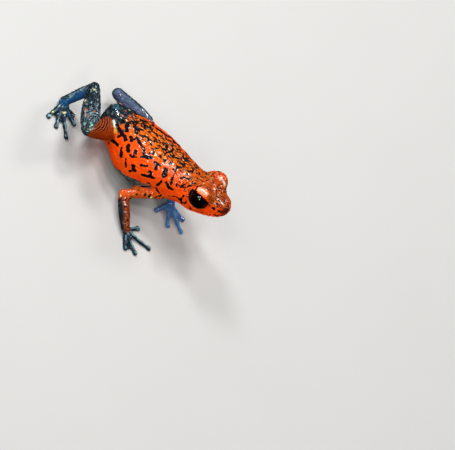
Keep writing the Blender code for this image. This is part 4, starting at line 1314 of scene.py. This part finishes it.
def makeSkinPaint():
    finish = skinFinish
    paint = Paint("poison_frog_skin")
    place = paint.place()
    flow = paint.field("flow", "Vector")
    paleGrainsAndGlints = paint.field("paleGrainsAndGlints")
    edge = paint.field("black")
    film = paint.field("film")
    mottle = paint.noise(place, finish["mottle"], 3.0)
    coarse = paint.noise(place, finish["coarse"])
    fine = paint.noise(place, finish["fine"], 3.0)

    # the red varies a little and is warmer beside the black marks
    tint = paint.field("tint", "Color")
    warm = paint.mix(1.0, tint, finish["warmer"], "MULTIPLY")
    halo = 1.0 - paint.step(edge + (coarse - 0.5) * 0.4, 0.12, 0.36)
    base = paint.mix(paint.larger(paint.step(mottle, 0.4, 0.7) * 0.45, halo * 0.4), tint, warm)
    # pale blue-grey granules over the dark skin: pale skin, with painted glints of the wet granules
    luck = paint.luck(flow, finish["pearl"])
    pearls = 1.0 - paint.step(paint.cells(flow, finish["pearl"]) + fine * 0.2, 0.34, 0.52)
    pearls = pearls * paint.step(luck, 0.25, 0.6)
    streaks = paint.step(paint.noise(flow, finish["streak"], 2.0, 0.3), 0.5, 0.58) * 0.75
    pearls = paint.larger(pearls, streaks) * paleGrainsAndGlints
    pearlTone = paint.mix(paint.step(luck, 0.4, 1.0), finish["pearlDark"], finish["pearlPale"])
    base = paint.mix(pearls * 0.92, base, pearlTone)
    # stripes of the thigh and arcs of the shank, round the knee
    ringWave = paint.work("SINE", paint.field("rings") * finish["rings"] + fine * 3.0 + coarse * 5.0)
    stripes = paint.field("stripes")
    base = paint.mix(stripes * 0.7, base, finish["stripeOrange"])
    base = paint.mix(paint.step(ringWave, -0.55, -0.1) * stripes, base, finish["stripeBlack"])
    base = paint.mix(paint.step(ringWave, 0.0, 0.5) * paint.field("arcs") * 0.7, base, finish["arcGrey"])
    # black: hand-placed marks, then short dashes along the back and finer flecks on the head
    marks = edge + (coarse - 0.5) * finish["ragged"] + (fine - 0.5) * 0.08
    marks = 1.0 - paint.step(marks, -0.02, 0.02)
    dashes = paint.work("ABSOLUTE", paint.noise(flow, finish["dash"], 1.0, 0.6) - 0.5)
    dashes = 1.0 - paint.step(dashes, 0.033, 0.056)
    density = paint.field("speckle")
    gaps = paint.step(paint.noise(flow, finish["gap"]) + density * 0.1, 0.57, 0.61)
    blots = paint.step(paint.noise(flow, finish["blot"], 1.2, 0.25) + density * 0.08, 0.625, 0.655)
    speckles = paint.larger(dashes * gaps, blots) * paint.step(density, 0.05, 0.25)
    fleckDensity = paint.field("fleck")
    flecks = paint.noise(flow, finish["fleck"], 1.0, 0.3) + fleckDensity * 0.15
    flecks = paint.step(flecks, 0.635, 0.675) * paint.step(fleckDensity, 0.02, 0.12)
    base = paint.mix(paint.larger(marks, paint.larger(speckles, flecks)), base, finish["black"])
    # painted glints: pale specks among the granules of the head and back
    luck = paint.luck(flow, finish["spark"])
    shineSpecks = (1.0 - paint.step(paint.cells(flow, finish["spark"]), 0.16, 0.24)) * paint.step(luck, 0.36, 0.4)
    shineSpecks = shineSpecks * paint.larger(fleckDensity, density) * (1.0 - marks)
    shineSpeckTone = paint.mix(paint.step(luck, 0.76, 0.77), finish["shineSpeckWarm"], finish["shineSpeckCool"])
    base = paint.mix(shineSpecks * 0.8, base, shineSpeckTone)

    grain = 1.0 - paint.cells(place, finish["granule"])
    fineGrain = 1.0 - paint.cells(place, finish["fineGranule"])
    height = coarse * 1.6 + grain * (0.45 + paleGrainsAndGlints * 0.55) + fineGrain * 0.3 + fine * 0.25
    height = height * (1.0 - film * 0.6)
    # the wet film lies in small patches, most of them where the skin faces up
    patches = paint.step(paint.noise(place, finish["wetPatch"], 2.0, 0.4), 0.53, 0.6)
    patches = paint.larger(patches, film * (0.6 + 0.8 * coarse))
    wet = finish["wet"] * paint.field("gloss") * (patches * 0.97 + 0.03) * (1.0 - marks * 0.35)
    return paint.finish(
        height, finish["bump"], finish["bumpDepth"], Base_Color=base,
        Roughness=finish["roughness"] + fine * 0.12 - 0.06,
        Coat_Weight=wet, Coat_Roughness=0.12, Coat_IOR=2.0, Specular_IOR_Level=0.05)


def makeSkin():
    skin = makeSkinBlank()
    softenJoints(skin)
    blendLids(skin)
    refineHead(skin)
    for sculpt in (sculptBody, sculptHead, sculptGranules, sculptDigits):
        writePoints(skin, sculpt(readPoints(skin), readNormals(skin)))
    writePoints(skin, layOnFloor(openLids(readPoints(skin))))
    print("skin sculpted:", len(skin.data.vertices), "points,", len(skin.data.polygons), "faces")
    paintSkin(skin)
    makeOnly(skin)
    bpy.ops.object.shade_smooth()
    skin.data.materials.append(makeSkinPaint())
    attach(skin, "root")
    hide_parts(*flesh)


# the eye: a ball whose clear front swells a little past it, with a wide flat pupil
eyeForm = {
    "radius": 1.45,
    "cornea": 0.05,
    "corneaEdge": 0.62,
    "pupilHalf": (0.62, 0.5),
    "segments": 96,
    "rings": 64,
    "black": (0.0012, 0.0011, 0.0012),
    "iris": (0.006, 0.0035, 0.0025),
}


def makeEyePaint():
    paint = Paint("wet_black_eye")
    pupil = paint.field("pupil")
    streaks = paint.noise(paint.place(), 7.0, 4.0, 1.5)
    iris = paint.step(pupil, 0.95, 1.05) * (1.0 - paint.step(pupil, 1.6, 2.3))
    base = paint.mix(iris * paint.step(streaks, 0.35, 0.75), eyeForm["black"], eyeForm["iris"])
    return paint.finish(streaks, 0.05, 0.01, Base_Color=base, Roughness=0.2 + streaks * 0.06,
                        Coat_Weight=0.9, Coat_Roughness=0.02, Coat_IOR=1.9, Specular_IOR_Level=0.02)


def makeEye(label, side, eyePaint):
    centre, aim, forward, up = eyeAxes(side)
    bpy.ops.object.select_all(action="DESELECT")
    bpy.ops.mesh.primitive_uv_sphere_add(
        segments=eyeForm["segments"], ring_count=eyeForm["rings"], radius=eyeForm["radius"] * mm)
    eye = bpy.context.object
    eye.name = "eyeball_" + label
    eye.data.name = eye.name
    points = readPoints(eye)
    facing = points[:, 2] / np.linalg.norm(points, axis=1)
    swell = eyeForm["cornea"] * rise(facing, eyeForm["corneaEdge"], 0.3)
    points = points * (1.0 + swell / eyeForm["radius"])[:, None]
    writePoints(eye, points @ np.array((np.cross(up, aim), up, aim)) + centre)
    half = eyeForm["pupilHalf"]
    pupil = np.hypot(points[:, 0] / half[0], points[:, 1] / half[1]) + np.where(facing < 0.0, 9.0, 0.0)
    eye.data.attributes.new("pupil", "FLOAT", "POINT").data.foreach_set("value", pupil.astype(np.float32))
    bpy.ops.object.shade_smooth()
    shape = bmesh.new()
    shape.from_mesh(eye.data)
    bmesh.ops.recalc_face_normals(shape, faces=shape.faces)
    shape.to_mesh(eye.data)
    shape.free()
    eye.data.materials.append(eyePaint)
    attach(eye, "root")
    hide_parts("eye_" + label)


# studio: each lamp has a name, the way to it, how far off it is, its width, its power and its colour
studio = {
    "world": (0.90, 0.94, 1.0),
    "worldStrength": 0.2,
    "lamps": (
        ("topLight", (-0.34, 0.34, 0.88), 320.0, 70.0, 0.32, (1.0, 0.99, 0.97)),
        ("rearLight", (-0.77, 0.11, 0.63), 320.0, 70.0, 0.46, (0.94, 0.97, 1.0)),
        ("skyLight", (-0.28, -0.02, 0.96), 320.0, 90.0, 0.27, (0.96, 0.98, 1.0)),
        ("sideLight", (-0.55, -0.8, 0.45), 500.0, 500.0, 1.0, (1.0, 0.98, 0.95)),
        ("frontLightOne", (-0.31, -0.62, 0.78), 420.0, 66.0, 0.17, (1.0, 1.0, 1.0)),
        ("frontLightTwo", (-0.08, -0.41, 1.02), 420.0, 66.0, 0.17, (1.0, 1.0, 1.0)),
        ("frontLightThree", (0.23, -0.76, 0.68), 420.0, 66.0, 0.17, (1.0, 1.0, 1.0)),
        ("rimLight", (0.18, 0.74, 0.65), 320.0, 80.0, 0.24, (1.0, 1.0, 1.0)),
    ),
    "floorWidth": 3000.0,
    "floorPale": (0.56, 0.55, 0.53),
    "floorDark": (0.51, 0.50, 0.48),
}


def makeFloorPaint():
    paint = Paint("pale_floor")
    place = paint.place()
    base = paint.mix(paint.noise(place, 0.05, 3.0) * 0.5, studio["floorPale"], studio["floorDark"])
    return paint.finish(paint.noise(place, 0.8), 0.1, 0.1, Base_Color=base, Roughness=0.75)


def makeStudio():
    world = bpy.data.worlds.new("studio")
    bpy.context.scene.world = world
    world.use_nodes = True
    world.cycles_visibility.glossy = False
    sky = world.node_tree.nodes["Background"].inputs
    sky["Color"].default_value = (*studio["world"], 1.0)
    sky["Strength"].default_value = studio["worldStrength"]
    for name, way, reach, size, power, tone in studio["lamps"]:
        place = Vector(way).normalized() * reach * mm
        bpy.ops.object.light_add(type="AREA", location=place)
        lamp = bpy.context.object
        lamp.name = name
        lamp.data.shape = "DISK"
        lamp.data.size = size * mm
        lamp.data.energy = power
        lamp.data.color = tone
        lamp.visible_glossy = name != "sideLight"
        lamp.rotation_euler = place.to_track_quat("Z", "Y").to_euler()
    bpy.ops.mesh.primitive_plane_add(size=studio["floorWidth"] * mm)
    floor = bpy.context.object
    floor.name = "floor"
    floor.data.materials.append(makeFloorPaint())
    floor.visible_glossy = False
    floor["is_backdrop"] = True
    bpy.context.scene.view_settings.view_transform = "Standard"
    print("studio set up")


makeCamera()
makeStudio()
makeSkin()
eyePaint = makeEyePaint()
for label, side in (("right", -1.0), ("left", 1.0)):
    makeEye(label, side, eyePaint)
print("eyes set")

boxes = {"cad": cadBox, "visual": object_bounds()}
{name: [list(corner) for corner in box] for name, box in boxes.items()}
